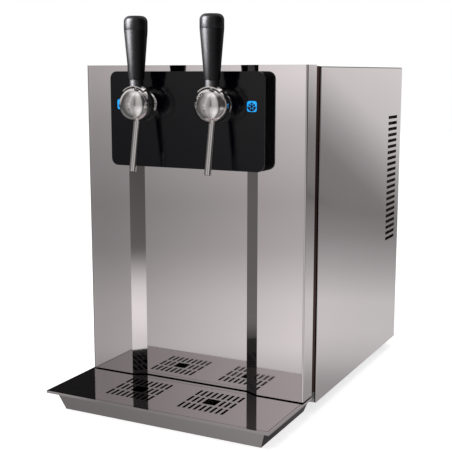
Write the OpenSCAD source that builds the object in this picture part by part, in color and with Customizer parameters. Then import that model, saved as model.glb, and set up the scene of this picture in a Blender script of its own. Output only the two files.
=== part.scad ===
/* [Cabinet] */
// Width of the cabinet and of the front panel
cabinet_w = 340; // [336:1:420]
// Depth of the cabinet behind the shadow gap
cabinet_d = 372; // [366:1:460]
// Height of the cabinet above its feet
cabinet_h = 462; // [450:1:540]
// Thickness of the steel sheet
sheet_t = 1.2; // [0.8:0.1:2]
// Outer radius of the folded edges of the panel and the cover
fold_r = 2.5; // [2.1:0.1:5]
// Width of the hem along the cover's front edges
hem_w = 9; // [5:0.5:15]
// Height of the folded flanges on the base plate and the cover
flange_h = 15; // [11:1:25]
// Height of the rubber feet
foot_h = 16; // [12:1:30]
// Diameter of the rubber feet at the cabinet
foot_d = 36; // [24:1:50]
// Distance from the cabinet's edges to the middle of each foot
foot_inset = 42; // [30:1:60]
// Clearance between pieces that slip together
slip = 0.2; // [0.1:0.05:0.4]

/* [Side vents] */
// Number of slots in each side
vent_count = 22; // [6:1:26]
// Distance from one slot to the next
vent_pitch = 9.5; // [7.5:0.5:12]
// Length of a slot
vent_len = 47; // [30:1:70]
// Height of a slot
vent_slot_h = 5; // [3:0.5:6.5]
// Distance from the slots to the cabinet's rear edge
vent_rear = 21; // [15:1:40]
// Distance from the cabinet's top to the first slot
vent_drop = 80; // [40:1:120]

/* [Front panel] */
// Height of the panel's lower edge above the counter
panel_lift = 31.5; // [31:0.1:45]
// Depth of the panel's folded sides
panel_return = 31; // [24:1:45]
// Width of the shadow gap between the panel and the cabinet
shadow_gap = 16; // [8:1:30]
// Height of the panel's top above the cabinet's
panel_rise = 1.9; // [0:0.1:6]
// Width of the recessed middle of the panel
recess_w = 162; // [150:1:180]
// Width of each slanted face beside the recess
recess_slope = 20; // [10:1:26]
// Depth of the recess
recess_depth = 9.5; // [5:0.5:14]
// How far the frame behind the panel stands in from the panel's edges
frame_inset = 18; // [12:1:30]
// Sheet thickness of the frame behind the panel
frame_t = 1.5; // [1:0.1:3]
// How far the frame's folded skirt stands in from the panel's edges in the shadow gap
skirt_inset = 1.5; // [1.4:0.1:8]

/* [Fascia] */
// Width of the fascia
fascia_w = 236; // [228:1:260]
// Height of the fascia
fascia_h = 130; // [110:1:150]
// How far the fascia stands in front of the panel
fascia_proud = 18; // [12:1:26]
// Corner radius of the fascia
fascia_r = 10; // [5:1:18]
// Wall of the fascia housing
fascia_wall = 2.5; // [1.5:0.1:4]
// Thickness of the fascia plate
fascia_plate_t = 3; // [2:0.1:5]
// Distance from the panel's top to the fascia
fascia_drop = 8.3; // [3:0.1:15]
// Side of a lit indicator
icon_size = 13.8; // [10:0.1:18]
// Corner radius of a lit indicator
icon_r = 3; // [1:0.1:4]
// Distance from the fascia's edge to the middle of an indicator
icon_inset = 18; // [14:1:20]
// Height of the indicators' middle above the fascia's lower edge
icon_height = 85; // [20:0.5:105]
// Width of the rim behind an indicator
icon_lip = 1.5; // [1:0.1:2.5]
// Thickness of an indicator's rim
icon_lip_t = 1.5; // [1:0.1:3]
// Thickness of an indicator's circuit board
icon_board_t = 1.6; // [0.8:0.1:2]

/* [Taps] */
// Distance between the two taps
tap_spacing = 114; // [100:1:126]
// Height of the ball's middle above the fascia's lower edge
tap_height = 86.5; // [40:0.5:95]
// Diameter of the ball
ball_d = 47; // [46:1:54]
// Gap between the ball and the fascia
ball_gap = 4.5; // [1.5:0.1:6]
// Radius of the ball's flared collar at the fascia
collar_r = 14.8; // [13:0.1:17]
// Depth of the collar
collar_t = 4.6; // [3:0.1:6]
// Thickness of the gasket behind the collar
gasket_t = 0.8; // [0.6:0.1:1.2]
// Radius of the hollow in the ball
cavity_r = 17; // [16.5:0.1:18]
// Radius of the lever's pivot pin
pin_r = 2; // [1.5:0.1:2.5]
// Radius of the lever's stem
stem_r = 3.5; // [3:0.1:4.5]
// How far the lever swings forward, in degrees
lever_swing = 18; // [10:1:24]
// Distance from the pivot down to the valve rod
lever_arm = 9; // [8.5:0.1:9.5]
// Radius of the valve rod
rod_r = 4.5; // [4:0.1:4.8]
// Clearance of running shafts, pins and rods
run_fit = 0.06; // [0.03:0.01:0.09]
// Radius of the threaded shank
shank_r = 11; // [10.5:0.1:12]
// Radius of the valve chamber in the shank
chamber_r = 8.5; // [8.2:0.1:9]
// Thickness of the shank's lock nut
nut_t = 8; // [5:0.5:12]
// Outside diameter of the spout
spout_d = 9.5; // [8:0.1:11]
// Wall of the spout
spout_wall = 1.2; // [0.8:0.1:2]
// Length of the spout below the ball
spout_len = 67; // [40:1:90]
// Forward slant of the spout, in degrees
spout_tilt = 11; // [0:0.5:14]

/* [Tap handles] */
// Diameter of the neck under a handle
neck_d = 18; // [14:0.5:21]
// Height of the neck above the ball
neck_h = 9; // [6:0.5:14]
// Gap between the ball and the saddle that slides over it
saddle_gap = 1.2; // [0.6:0.1:1.6]
// Thickness of the saddle under a neck
saddle_t = 1.2; // [0.8:0.1:2]
// Width of the saddle
saddle_w = 32.5; // [26:0.5:36]
// How far the saddle reaches back from the neck's middle
saddle_back = 12; // [10:0.5:16]
// Diameter of the handle at the neck
handle_low_d = 20.5; // [18:0.5:26]
// Diameter of the handle at its cap
handle_top_d = 31.5; // [24:0.5:38]
// Length of the handle below its cap
handle_len = 64.5; // [45:0.5:90]
// Height of the handle's cap
cap_h = 18.5; // [12:0.5:26]
// Rounding of the cap's top edge
cap_round = 7.8; // [3:0.1:9]

/* [Drip tray] */
// How far the tray is wider than the cabinet
tray_extra_w = 2; // [0:0.5:8]
// How far the tray reaches in front of the panel
tray_reach = 114; // [105:1:150]
// How far the tray reaches under the panel
tray_tuck = 29; // [15:1:40]
// How far the tray's low heel reaches behind the panel's front
tray_heel = 47; // [36:1:50]
// Gap between the tray's heel and the cabinet's bottom
heel_gap = 2; // [1:0.5:4]
// Height of the tray
tray_h = 30; // [26:1:30]
// Height of the tray's upright lip
lip_h = 3.5; // [3.5:0.5:8]
// Width of the rim around the grille
rim_w = 3; // [1.5:0.5:5]
// How far the tray's wall stands in from the lip
wall_inset = 10; // [8:0.5:14]
// How far the tray's wall slants in towards the counter
wall_slant = 9; // [2:0.5:16]
// Wall of the tray
tray_wall = 1.5; // [1:0.1:2.5]
// Thickness of the grille
grille_t = 2; // [1.5:0.1:2.5]
// Clearance around and under the grille
grille_gap = 0.3; // [0.2:0.05:0.6]
// Clearance between the lifted grille and the panel
grille_rear = 1.5; // [1:0.1:4]

/* [Grille slots] */
// Width of a slot
slot_w = 4; // [2.5:0.1:5]
// Length of a slot
slot_len = 20.5; // [12:0.5:22]
// Distance between neighbouring slots
slot_pitch = 8.15; // [7:0.05:9]
// Distance between the rows of slots
row_pitch = 25; // [23:0.5:28]
// Slots in a row
slots_per_row = 9; // [5:2:11]
// Slots that the square hole replaces
hole_slots = 3; // [1:2:3]
// Distance from the panel to the middle of the pattern
pattern_y = 50; // [46:1:58]

/* [Cooling bath] */
// Gap between the bath's jacket and the cabinet's sides
bath_side = 20; // [15:1:24]
// Gap between the bulkhead and the jacket
bath_front = 4; // [2:0.5:10]
// Thickness of the foam jacket
foam_t = 20; // [14:1:22]
// Wall of the bath's liner
liner_t = 2; // [1:0.1:3]
// Thickness of the bath's lid
lid_t = 18; // [10:1:25]
// Drop from the tap hoses to the lid's top
lid_drop = 36; // [32:1:50]
// Radius of the coils' tube
coil_tube_r = 4; // [3:0.1:4.5]
// Turns in each coil
coil_turns = 7; // [4:1:9]
// Height from one turn to the next
coil_pitch = 24; // [18:0.5:28]
// Gap between a coil and its neighbours
coil_gap = 6; // [4:0.5:7]
// Gap between a coil and its riser
riser_gap = 4; // [2:0.1:4.5]
// Height of the coil ends above the lid
riser_up = 10; // [6:0.5:14]
// Radius of the agitator's motor
stirrer_r = 22; // [16:0.5:24]
// Height of the agitator's motor
stirrer_h = 38; // [25:1:45]
// Radius of the agitator's blades
paddle_r = 24; // [14:0.5:28]
// Radius of the agitator's and the fan's shafts
shaft_r = 3; // [2.5:0.1:4]

/* [Cooling machine] */
// Diameter of the compressor
comp_d = 126; // [110:1:134]
// Height of the compressor's can
comp_h = 120; // [100:1:126]
// Height of the compressor's rubber mounts
grommet_h = 12; // [8:0.5:14]
// Gap between the compressor and what stands before and behind it
bay_gap = 6; // [3:0.5:8]
// Depth of the condenser
cond_d = 44; // [36:1:46]
// Gap between the condenser and the rear panel
cond_rear = 20; // [16:1:24]
// Gap between the condenser's plates and the cabinet's sides
cond_side = 44; // [40:1:60]
// Gap between the condenser and the cabinet's top
cond_head = 78; // [72:1:100]
// Height of the machine bay under the condenser
bay_h = 174; // [172:1:190]
// Number of condenser fins
fin_count = 14; // [6:1:24]
// Thickness of a fin
fin_t = 0.8; // [0.5:0.1:1.5]
// Thickness of the condenser's end plates
end_plate_t = 1.5; // [1:0.1:2.5]
// Radius of the condenser's tube
cond_tube_r = 4.5; // [3.5:0.1:5]
// Distance between the condenser's tubes
cond_pitch = 24; // [18:0.5:28]
// Width of the shroud around the fan, at its narrowest
shroud_rim = 19; // [16:0.5:36]
// Depth of the fan's shroud
shroud_d = 30; // [28:1:34]
// Radius of the fan's motor
fan_motor_r = 22; // [16:0.5:28]
// Length of the fan's motor
fan_motor_l = 36; // [24:1:44]

/* [Pump and services] */
// Radius of the pump's motor
pump_motor_r = 40; // [30:0.5:44]
// Length of the pump's motor
pump_motor_l = 88; // [70:1:95]
// Radius of the pump's head
pump_r = 26; // [22:0.5:32]
// Length of the pump's head
pump_l = 42; // [36:1:50]
// Radius of the hoses
hose_r = 4; // [3:0.1:4.5]
// Distance from the cabinet's side to the water inlet
water_inset = 79; // [70:1:90]
// Distance between the water and gas inlets
inlet_spacing = 45; // [36:1:50]
// Distance from the cabinet's other side to the power inlet
power_inset = 94; // [60:1:100]
// How far the inlet fittings stand out behind the cabinet
fitting_reach = 22; // [16:0.5:40]
// Bore of an inlet fitting, for a push-in tube
port_d = 8; // [6:0.5:10]
// Depth of that bore
port_depth = 16; // [10:0.5:20]
// Diameter of the temperature knob
knob_d = 26; // [18:0.5:34]

/* [Hidden] */
$fn = 64;
// Overshoot of a cutting shape past the face that it cuts
cut = 1;
// Thickness of the thin slabs that a taper is drawn between
film = 0.01;

// Main levels and planes. Depth is counted back from the panel's front
base_z = foot_h;
floor_z = base_z + sheet_t;
cab_top = base_z + cabinet_h;
cab_front = panel_return + shadow_gap;
cab_rear = cab_front + cabinet_d;
mid_y = (cab_rear + fitting_reach - tray_reach) / 2;
inner_half = cabinet_w / 2 - sheet_t;
plate_half = inner_half - sheet_t - slip;
rear_half = inner_half - slip;
hem_y = cab_front + sheet_t;
vent_y = cab_rear - vent_rear - vent_len;
ceiling_z = cab_top - sheet_t - slip;
bulk_top = ceiling_z - sheet_t;
bulk_front = hem_y;
bulk_back = bulk_front + sheet_t;
rear_inner = cab_rear - sheet_t;
foot_taper = 3;

// Front panel and fascia
panel_top = cab_top + panel_rise;
panel_h = panel_top - panel_lift;
skirt_back = cab_front - 1;
recess_half = recess_w / 2;
recess_outer = recess_half + recess_slope;
recess_fold = sheet_t * tan(atan(recess_depth / recess_slope) / 2);
fascia_low = panel_top - fascia_drop - fascia_h;
fascia_mid = fascia_low + fascia_h / 2;
fascia_back = fascia_plate_t - fascia_proud;
icon_x = fascia_w / 2 - icon_inset;
icon_z = fascia_low + icon_height;
icon_lip_back = fascia_back + icon_lip_t;

// Taps. The ball's middle is the origin of each tap
tap_x = tap_spacing / 2;
tap_z = fascia_low + tap_height;
ball_r = ball_d / 2;
ball_y = -fascia_proud - ball_gap - ball_r;
shank_z = tap_z - lever_arm;
panel_back = recess_depth + sheet_t - ball_y;
shank_start = ball_r / 2;
collar_flare = 3.6;
collar_end = ball_r + ball_gap - gasket_t;
thread_spare = 12;
shank_end = panel_back + nut_t + thread_spare;
seat_depth = 6;
seat_y = ball_r + ball_gap + seat_depth;
seat_gap = 0.3;
head_gap = 0.7;
head_r = chamber_r - head_gap;
head_t = 4;
rod_front = 8;
rod_slot_front = 4.3;
rod_slot_rear = 3;
channel_wall = 0.75;
channel_r = (chamber_r - rod_r) / 2 - channel_wall;
channel_x = (chamber_r + rod_r) / 2;
finger_r = 1.5;
finger_tip_r = 2.2;
finger_gap = 0.4;
hub_gap = 0.5;
hub_r = lever_arm - rod_r - hub_gap;
hub_half = 4;
slot_gap = 0.6;
slot_low = 5;
pin_inset = 4;
pin_end = ball_r - pin_inset;
neck_top = ball_r + neck_h;
stem_depth = 20;
spout_r = spout_d / 2;
spout_stop = 1;
spout_seat = ball_r - cavity_r - spout_stop;
cap_edge = min(cap_round, handle_top_d / 4);
tail_plug = 8;
tail_stub = 6;
tail_bore_r = 2.5;
tail_y = ball_y + shank_end + tail_stub;
gasket_w = 3;
gasket_r = shank_r + gasket_w;
nut_w = 7;
nut_r = shank_r + nut_w;

// Drip tray
tray_half = (cabinet_w + tray_extra_w) / 2;
tray_depth = tray_reach + tray_tuck;
lip_z = tray_h - lip_h;
heel_z = base_z - heel_gap;
heel_rear = tray_heel + wall_inset + wall_slant;
grille_half = tray_half - rim_w;
grille_d = tray_reach - rim_w - grille_rear;
ledge_w = wall_inset - rim_w + tray_wall;
pattern_half = (slots_per_row - 1) / 2;
hole_half = (hole_slots - 1) / 2;
hole_w = (hole_slots - 1) * slot_pitch + slot_w;

// Condenser, compressor and cooling bath, worked out from the rear forwards
cond_y1 = rear_inner - cond_rear;
cond_y0 = cond_y1 - cond_d;
cond_mid_y = (cond_y0 + cond_y1) / 2;
cond_half = inner_half - cond_side;
cond_low = floor_z + bay_h;
cond_top = cab_top - cond_head;
cond_h = cond_top - cond_low;
cond_mid_z = (cond_low + cond_top) / 2;
cond_edge = 15;
cond_tubes = 2 * floor(((cond_h - 2 * cond_edge) / cond_pitch + 1) / 2);
fin_step = (2 * cond_half - 2 * cond_edge) / (fin_count - 1);
bend_gap = 3;
tube_stub = end_plate_t + bend_gap;
comp_r = comp_d / 2;
comp_y = cond_y0 - bay_gap - comp_r;
comp_x = inner_half - comp_r - cond_side / 2;
comp_plate_t = 3;
comp_plate_z = floor_z + grommet_h;
comp_can_z = comp_plate_z + comp_plate_t;
comp_top = comp_can_z + comp_h;
comp_stub_h = 8;
comp_stub_r = 4;
comp_grip = comp_r * 0.72;
pump_foot = 0.7;
pump_foot_in = 10;
grommet_r = 9;
pipe_r = 3;
fan_y = cond_y0 - shroud_d;
strap_t = 2;
strap_w = 30;
fan_gap = 3;
fan_d = cond_h - 2 * shroud_rim - 2 * fan_gap;
fan_hub_r = 20;
fan_hub_h = 14;
fan_hub_in = 6;
fan_hub_y = fan_y + fan_hub_in;
blade_root = 4;
blade_count = 5;
blade_chord = 34;
blade_t = 2;
blade_pitch = 28;
shaft_depth = 15;

bath_half = inner_half - bath_side + sheet_t;
bath_y0 = bulk_back + bath_front;
bath_y1 = comp_y - comp_r - bay_gap;
bath_mid = (bath_y0 + bath_y1) / 2;
lid_top = shank_z - lid_drop;
bath_top = lid_top - lid_t;
bath_wall = foam_t + slip + liner_t;
bath_in_half = bath_half - bath_wall;
coil_room_y = (bath_y1 - bath_y0) / 2 - bath_wall - coil_tube_r - coil_gap;
coil_room_x = (bath_in_half - 4 * coil_tube_r - riser_gap - coil_gap) / 2;
coil_r = min(coil_room_x, coil_room_y);
coil_riser = coil_r + 2 * coil_tube_r + riser_gap;
coil_margin = 1;
coil_x = bath_in_half - coil_riser - coil_tube_r - coil_margin;
coil_drop = 40;
coil_top = bath_top - coil_drop;
coil_low = coil_top - coil_turns * coil_pitch;
riser_top = lid_top + riser_up;
ring_steps = 16;
can_r = coil_r - coil_tube_r - coil_gap;
can_drop = 20;
can_low = coil_low - can_drop;
can_head = 14;
can_top = bath_top - can_head;
can_neck_r = 12;
can_flange_r = 24;
can_flange_t = 4;
can_port = 13;
can_port_shift = [-0.4, 0.2, 0.8];
paddle_up = 10;
stirrer_low = coil_low + paddle_up;
paddle_h = 16;
paddle_t = 2;

// Pump and services
pump_side = 18;
pump_x = pump_side - inner_half;
pump_mid = pump_x + pump_motor_l;
pump_end = pump_mid + pump_l;
pump_foot_h = 14;
pump_z = floor_z + pump_foot_h + pump_motor_r;
pump_port_x = pump_mid + pump_l / 2;
pump_stub = 8;
pump_wall = 10;
rotor_l = pump_l / 2;
rotor_shaft_r = 5;
rotor_gap = 1;
rotor_r = pump_r - pump_wall - rotor_gap;
fitting_up = 48;
fitting_z = floor_z + fitting_up;
water_x = water_inset - inner_half;
gas_x = water_x + inlet_spacing;
fitting_r = 8;
fitting_collar_r = 12;
fitting_collar_t = 4;
fitting_in = 12;
valve_y1 = rear_inner - fitting_in;
valve_w = 40;
valve_d = 26;
valve_h = 30;
valve_coil_r = 13;
valve_coil_h = 30;
valve_out_x = 10;
valve_stub = 6;
inlet_x = inner_half - power_inset;
inlet_up = 58;
inlet_z = floor_z + inlet_up;
inlet_w = 30;
inlet_h = 80;
inlet_body_d = 26;
inlet_rim = 3;
inlet_rim_t = 2.5;
inlet_face = sheet_t + inlet_rim_t;
socket_w = 24;
socket_h = 17;
socket_depth = 17;
socket_z = -18;
prong_l = 13;
prong_half = [1, 2];
prong_at = [[-7, -4], [0, 0.5], [7, -4]];
rocker_w = 18;
rocker_h = 24;
rocker_z = 20;
rocker_t = 7;
rocker_depth = 12;
rocker_gap = 0.8;
rocker_tilt = 9;
rocker_pin_r = 2;
rocker_y = inlet_face - rocker_t / 2;
box_side = 30;
box_x0 = box_side - inner_half;
box_w = 110;
box_d = 34;
box_up = 12;
box_low = cond_top + box_up;
box_h = 48;
box_wall = 2;
knob_inset = 24;
knob_x = box_x0 + box_w - knob_inset;
knob_z = box_low + box_h / 2;
knob_h = 14;
knob_gap = 0.5;
knob_mark = 2;
knob_shaft_r = 3;
louvre_len = 60;
louvre_h = 4;
louvre_pitch = 10;
louvre_columns = 3;
louvre_step = 78;
louvre_rows = floor((cond_h - 2 * cond_edge) / louvre_pitch);
screw_r = 2;
screw_head_r = 4;
screw_head_h = 2.4;
screw_xs = [-0.9, -0.3, 0.3, 0.9] * plate_half;
screw_zs = [base_z + flange_h * 0.6, cab_top - sheet_t - flange_h * 0.6];

// Colours as they look under plain light
polished = "#b8b3b2";
satin = "#a6a4a2";
black_gloss = "#17171a";
black_satin = "#202022";
zinc = "#9a9d9f";
copper = "#b87352";
brass = "#b8974f";
rubber = "#1c1c1c";

// Moves a piece from the panel's front to the middle of the footprint
module framed() {
    translate([0, -mid_y, 0]) children();
}

// Lays a shape that stands on Z back along Y
module along_y() {
    rotate([-90, 0, 0]) children();
}

// Lays a shape that stands on Z along X
module along_x() {
    rotate([0, 90, 0]) children();
}

// Thickens an outline drawn in X and Z, from depth y0 backwards
module upright(y0, depth) {
    translate([0, y0 + depth, 0]) rotate([90, 0, 0]) linear_extrude(depth) children();
}

// A box given by its two corners
module span(low, high) {
    translate(low) cube(high - low);
}

module rounded_rect(w, h, r) {
    square([w - 2 * r, h], center = true);
    square([w, h - 2 * r], center = true);
    for (x = [-1, 1], z = [-1, 1])
        translate([x * (w / 2 - r), z * (h / 2 - r)]) circle(r);
}

// A round can with rounded ends, standing on Z
module rounded_can(r, h, round) {
    rotate_extrude() {
        square([r - round, h]);
        translate([0, round]) square([r, h - 2 * round]);
        for (z = [round, h - round]) translate([r - round, z]) circle(round);
    }
}

function unit(v) = v / norm(v);

// The arc that rounds the corner b of the path a, b, c
function corner(a, b, c, r, steps) =
    let (u = unit(a - b), w = unit(c - b))
    let (half = acos(u * w) / 2, sweep = 180 - 2 * half)
    let (middle = b + unit(u + w) * r / sin(half))
    let (from = b + u * r / tan(half) - middle, to = b + w * r / tan(half) - middle)
    [for (i = [0 : steps])
        middle + (sin(sweep * (1 - i / steps)) * from + sin(sweep * i / steps) * to) / sin(sweep)];

// A path with every corner rounded
function route(p, r, steps = 4) = [
    p[0],
    for (i = [1 : len(p) - 2]) each corner(p[i - 1], p[i], p[i + 1], r, steps),
    p[len(p) - 1]
];

function headings(p) =
    [for (i = [0 : len(p) - 1]) unit(p[min(i + 1, len(p) - 1)] - p[max(i - 1, 0)])];
function square_to(n, t) = unit(n - (n * t) * t);
function first_side(t) = cross(t, abs(t.z) < 0.9 ? [0, 0, 1] : [1, 0, 0]);
function sides_of(t) =
    [for (i = 0, n = square_to(first_side(t[0]), t[0]); i < len(t);
          n = square_to(n, t[min(i + 1, len(t) - 1)]), i = i + 1) n];

// A round tube along a path
module tube(path, r, sides = 8) {
    t = headings(path);
    n = sides_of(t);
    last = (len(path) - 1) * sides;
    points = [for (i = [0 : len(path) - 1], k = [0 : sides - 1])
        path[i] + r * (cos(360 * k / sides) * n[i] + sin(360 * k / sides) * cross(t[i], n[i]))];
    walls = [for (i = [0 : len(path) - 2], k = [0 : sides - 1])
        let (a = i * sides + k, b = i * sides + (k + 1) % sides)
        each [[a, a + sides, b + sides], [a, b + sides, b]]];
    ends = [for (k = [1 : sides - 2]) each [[0, k, k + 1], [last, last + k + 1, last + k]]];
    polyhedron(points, concat(walls, ends));
}

module feet() color(rubber) framed()
    for (x = [-1, 1], y = [cab_front + foot_inset, cab_rear - foot_inset])
        translate([x * (cabinet_w / 2 - foot_inset), y, 0])
            cylinder(d1 = foot_d - 2 * foot_taper, d2 = foot_d, h = foot_h);

// Places what repeats at every rear screw
module at_rear_screws(zs) {
    for (x = screw_xs, z = zs) translate([x, 0, z]) children();
}

module screw_hole() {
    translate([0, rear_inner - 2 * sheet_t, 0]) along_y()
        cylinder(r = screw_r + run_fit, h = 4 * sheet_t);
}

module base_plate() color(zinc) framed() difference() {
    union() {
        span([-plate_half, cab_front, base_z], [plate_half, rear_inner, floor_z]);
        for (y = [cab_front, rear_inner - sheet_t])
            span([-plate_half, y, base_z], [plate_half, y + sheet_t, base_z + flange_h]);
        for (x = [-plate_half, plate_half - sheet_t])
            span([x, cab_front, base_z], [x + sheet_t, rear_inner, base_z + flange_h]);
    }
    at_rear_screws([screw_zs[0]]) screw_hole();
}

// The cover's doorway outline, with its top edges rounded
module arch(inset, low) {
    half = cabinet_w / 2 - inset;
    top = cab_top - inset;
    r = fold_r - inset;
    translate([-half, low]) square([2 * half, top - r - low]);
    translate([r - half, low]) square([2 * (half - r), top - low]);
    for (s = [-1, 1]) translate([s * (half - r), top - r]) circle(r);
}

// The cover's front edges, folded back on themselves
module cover_hems() {
    for (s = [0, 1]) mirror([s, 0, 0]) translate([inner_half, hem_y, base_z]) {
        cylinder(r = sheet_t, h = cabinet_h - fold_r);
        span([-sheet_t, 0, 0], [0.5 * sheet_t, hem_w, cabinet_h - fold_r]);
    }
    translate([0, hem_y, cab_top - sheet_t]) {
        along_x() cylinder(r = sheet_t, h = 2 * (inner_half - sheet_t), center = true);
        span([sheet_t - inner_half, 0, -sheet_t], [inner_half - sheet_t, hem_w, 0.5 * sheet_t]);
    }
}

module cabinet_cover() color(polished) framed() {
    difference() {
        upright(hem_y, cabinet_d - sheet_t) difference() {
            arch(0, base_z);
            arch(sheet_t, base_z - cut);
        }
        for (i = [0 : vent_count - 1])
            translate([-cabinet_w, vent_y, cab_top - vent_drop - i * vent_pitch - vent_slot_h / 2])
                cube([2 * cabinet_w, vent_len, vent_slot_h]);
    }
    cover_hems();
    difference() {
        span([-plate_half, rear_inner - sheet_t, cab_top - sheet_t - flange_h],
             [plate_half, rear_inner, cab_top - sheet_t / 2]);
        at_rear_screws([screw_zs[1]]) screw_hole();
    }
}

module rear_panel() color(zinc) framed() difference() {
    span([-rear_half, rear_inner, base_z], [rear_half, cab_rear, ceiling_z]);
    at_rear_screws(screw_zs) screw_hole();
    for (c = [0 : louvre_columns - 1], i = [0 : louvre_rows - 1])
        translate([(c - (louvre_columns - 1) / 2) * louvre_step - louvre_len / 2, rear_inner - cut,
                   cond_low + cond_edge + i * louvre_pitch])
            cube([louvre_len, sheet_t + 2 * cut, louvre_h]);
    for (p = [[water_x, fitting_z, fitting_r], [gas_x, fitting_z, fitting_r], [knob_x, knob_z, knob_shaft_r]])
        translate([p[0], rear_inner - cut, p[1]]) along_y()
            cylinder(r = p[2] + slip, h = sheet_t + 2 * cut);
    translate([inlet_x, 0, inlet_z])
        span([-inlet_w / 2 - slip, rear_inner - cut, -inlet_h / 2 - slip],
             [inlet_w / 2 + slip, cab_rear + cut, inlet_h / 2 + slip]);
}

module front_bulkhead() color(black_satin) framed() difference() {
    span([sheet_t - plate_half, bulk_front, floor_z], [plate_half - sheet_t, bulk_back, bulk_top]);
    for (s = [-1, 1])
        translate([s * tap_x, bulk_front - cut, shank_z]) along_y()
            cylinder(r = 2 * hose_r, h = sheet_t + 2 * cut);
}

function mirrored(p) = [for (i = [len(p) - 1 : -1 : 0]) [-p[i].x, p[i].y]];

// The space behind the panel's folded line, from its outer face inset by y back to the given depth
module behind_panel(fold, y, depth) {
    side = cabinet_w / 2;
    half = [
        [recess_half + fold, recess_depth + y], [recess_outer + fold, y], [side - fold_r, y],
        [side - y, fold_r], [side - y, depth]
    ];
    polygon(concat(mirrored(half), half));
    for (s = [-1, 1]) translate([s * (side - fold_r), fold_r]) circle(fold_r - y);
}

// The outline of the frame that carries the panel, seen from the front
module frame_outline(inset) {
    margin = 2 * inset;
    translate([0, (panel_lift + panel_top) / 2])
        square([cabinet_w - margin, panel_h - margin], center = true);
}

module panel_frame() color(black_satin) framed() intersection() {
    union() {
        upright(0, bulk_front) difference() {
            frame_outline(frame_inset);
            frame_outline(frame_inset + frame_t);
        }
        upright(panel_return - 4, skirt_back - panel_return + 4) difference() {
            frame_outline(skirt_inset);
            frame_outline(skirt_inset + frame_t);
        }
        upright(skirt_back - frame_t, frame_t) difference() {
            frame_outline(skirt_inset);
            frame_outline(frame_inset + frame_t);
        }
    }
    linear_extrude(2 * panel_top) behind_panel(recess_fold, sheet_t, bulk_front);
}

module front_panel() color(polished) framed() difference() {
    translate([0, 0, panel_lift]) difference() {
        linear_extrude(panel_h) behind_panel(0, 0, panel_return);
        translate([0, 0, -cut]) linear_extrude(panel_h + cut - sheet_t)
            behind_panel(recess_fold, sheet_t, panel_return + cut);
    }
    for (s = [-1, 1])
        translate([s * tap_x, 0, shank_z]) along_y() cylinder(r = shank_r + slip, h = panel_return);
}

module fascia_outline(inset) {
    translate([0, fascia_mid])
        rounded_rect(fascia_w - 2 * inset, fascia_h - 2 * inset, max(fascia_r - inset, 1));
}

module fascia_housing() color(black_satin) framed() difference() {
    upright(fascia_back, recess_depth - fascia_back) difference() {
        fascia_outline(0);
        fascia_outline(fascia_wall);
    }
    linear_extrude(2 * panel_top) behind_panel(0, 0, panel_return);
}

module fascia_plate() color(black_gloss) framed()
    upright(-fascia_proud, fascia_plate_t) difference() {
        fascia_outline(0);
        for (s = [-1, 1]) {
            translate([s * tap_x, shank_z]) circle(shank_r + slip);
            translate([s * icon_x, icon_z])
                rounded_rect(icon_size + 2 * slip, icon_size + 2 * slip, icon_r + slip);
        }
    }

module indicator(side) color("#1e8fe8") framed() {
    upright(-fascia_proud, fascia_plate_t + icon_lip_t)
        translate([side * icon_x, icon_z]) rounded_rect(icon_size, icon_size, icon_r);
    upright(fascia_back, icon_lip_t)
        translate([side * icon_x, icon_z]) square(icon_size + 2 * icon_lip, center = true);
}

module left_indicator() indicator(-1);
module right_indicator() indicator(1);

module indicator_boards() color("#2f6b45") framed()
    for (s = [-1, 1])
        upright(icon_lip_back, icon_board_t)
            translate([s * icon_x, icon_z]) square(icon_size + 2 * icon_lip, center = true);

// The tray's hollow or outer wall: upright taper between the lip and the counter, back to the given rear
module tray_taper(inset, low, rear) {
    top = wall_inset + inset;
    foot = top + wall_slant;
    hull() {
        span([top - tray_half, top - tray_reach, lip_z - film], [tray_half - top, rear - top, lip_z]);
        span([foot - tray_half, foot - tray_reach, low], [tray_half - foot, rear - foot, low + film]);
    }
}

// The tray's bowl with its low heel, which reaches under the cabinet
module tray_bowl(inset, low) {
    tray_taper(inset, low, tray_tuck);
    intersection() {
        tray_taper(inset, low, heel_rear);
        span([-tray_half, -tray_reach, 0], [tray_half, heel_rear, heel_z - inset]);
    }
}

module drip_tray() color(polished) framed() difference() {
    union() {
        tray_bowl(0, 0);
        span([-tray_half, -tray_reach, lip_z], [tray_half, tray_tuck, tray_h]);
    }
    tray_bowl(tray_wall, tray_wall);
    span([-grille_half - grille_gap, -tray_reach + rim_w - grille_gap, tray_h - grille_t - grille_gap],
         [grille_half + grille_gap, -grille_rear + grille_gap, tray_h + cut]);
    span([-grille_half + ledge_w, -tray_reach + rim_w + ledge_w, lip_z - cut],
         [grille_half - ledge_w, -grille_rear - ledge_w, tray_h + cut]);
}

// One of the grille's two slotted squares, around its middle
module slot_pattern() {
    for (row = [-1, 0, 1], i = [-pattern_half : pattern_half])
        if (row != 0 || abs(i) > hole_half)
            translate([i * slot_pitch, row * row_pitch]) square([slot_w, slot_len], center = true);
    square([hole_w, slot_len], center = true);
}

module tray_grille() color(satin) framed()
    translate([0, 0, tray_h - grille_t]) linear_extrude(grille_t) difference() {
        translate([-grille_half, -tray_reach + rim_w]) square([2 * grille_half, grille_d]);
        for (s = [-1, 1]) translate([s * tap_x, -pattern_y]) slot_pattern();
    }

module at_tap(side) {
    framed() translate([side * tap_x, ball_y, tap_z]) children();
}

// Runs a round piece of a tap along the shank, from y0 to y1
module on_shank(r, y0, y1) {
    translate([0, y0, -lever_arm]) along_y() cylinder(r = r, h = y1 - y0);
}

// A point of the lever's slot at full swing, in Y and Z
function swung(p) = [
    p.x * cos(lever_swing) - p.y * sin(lever_swing),
    p.x * sin(lever_swing) + p.y * cos(lever_swing)
];

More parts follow.
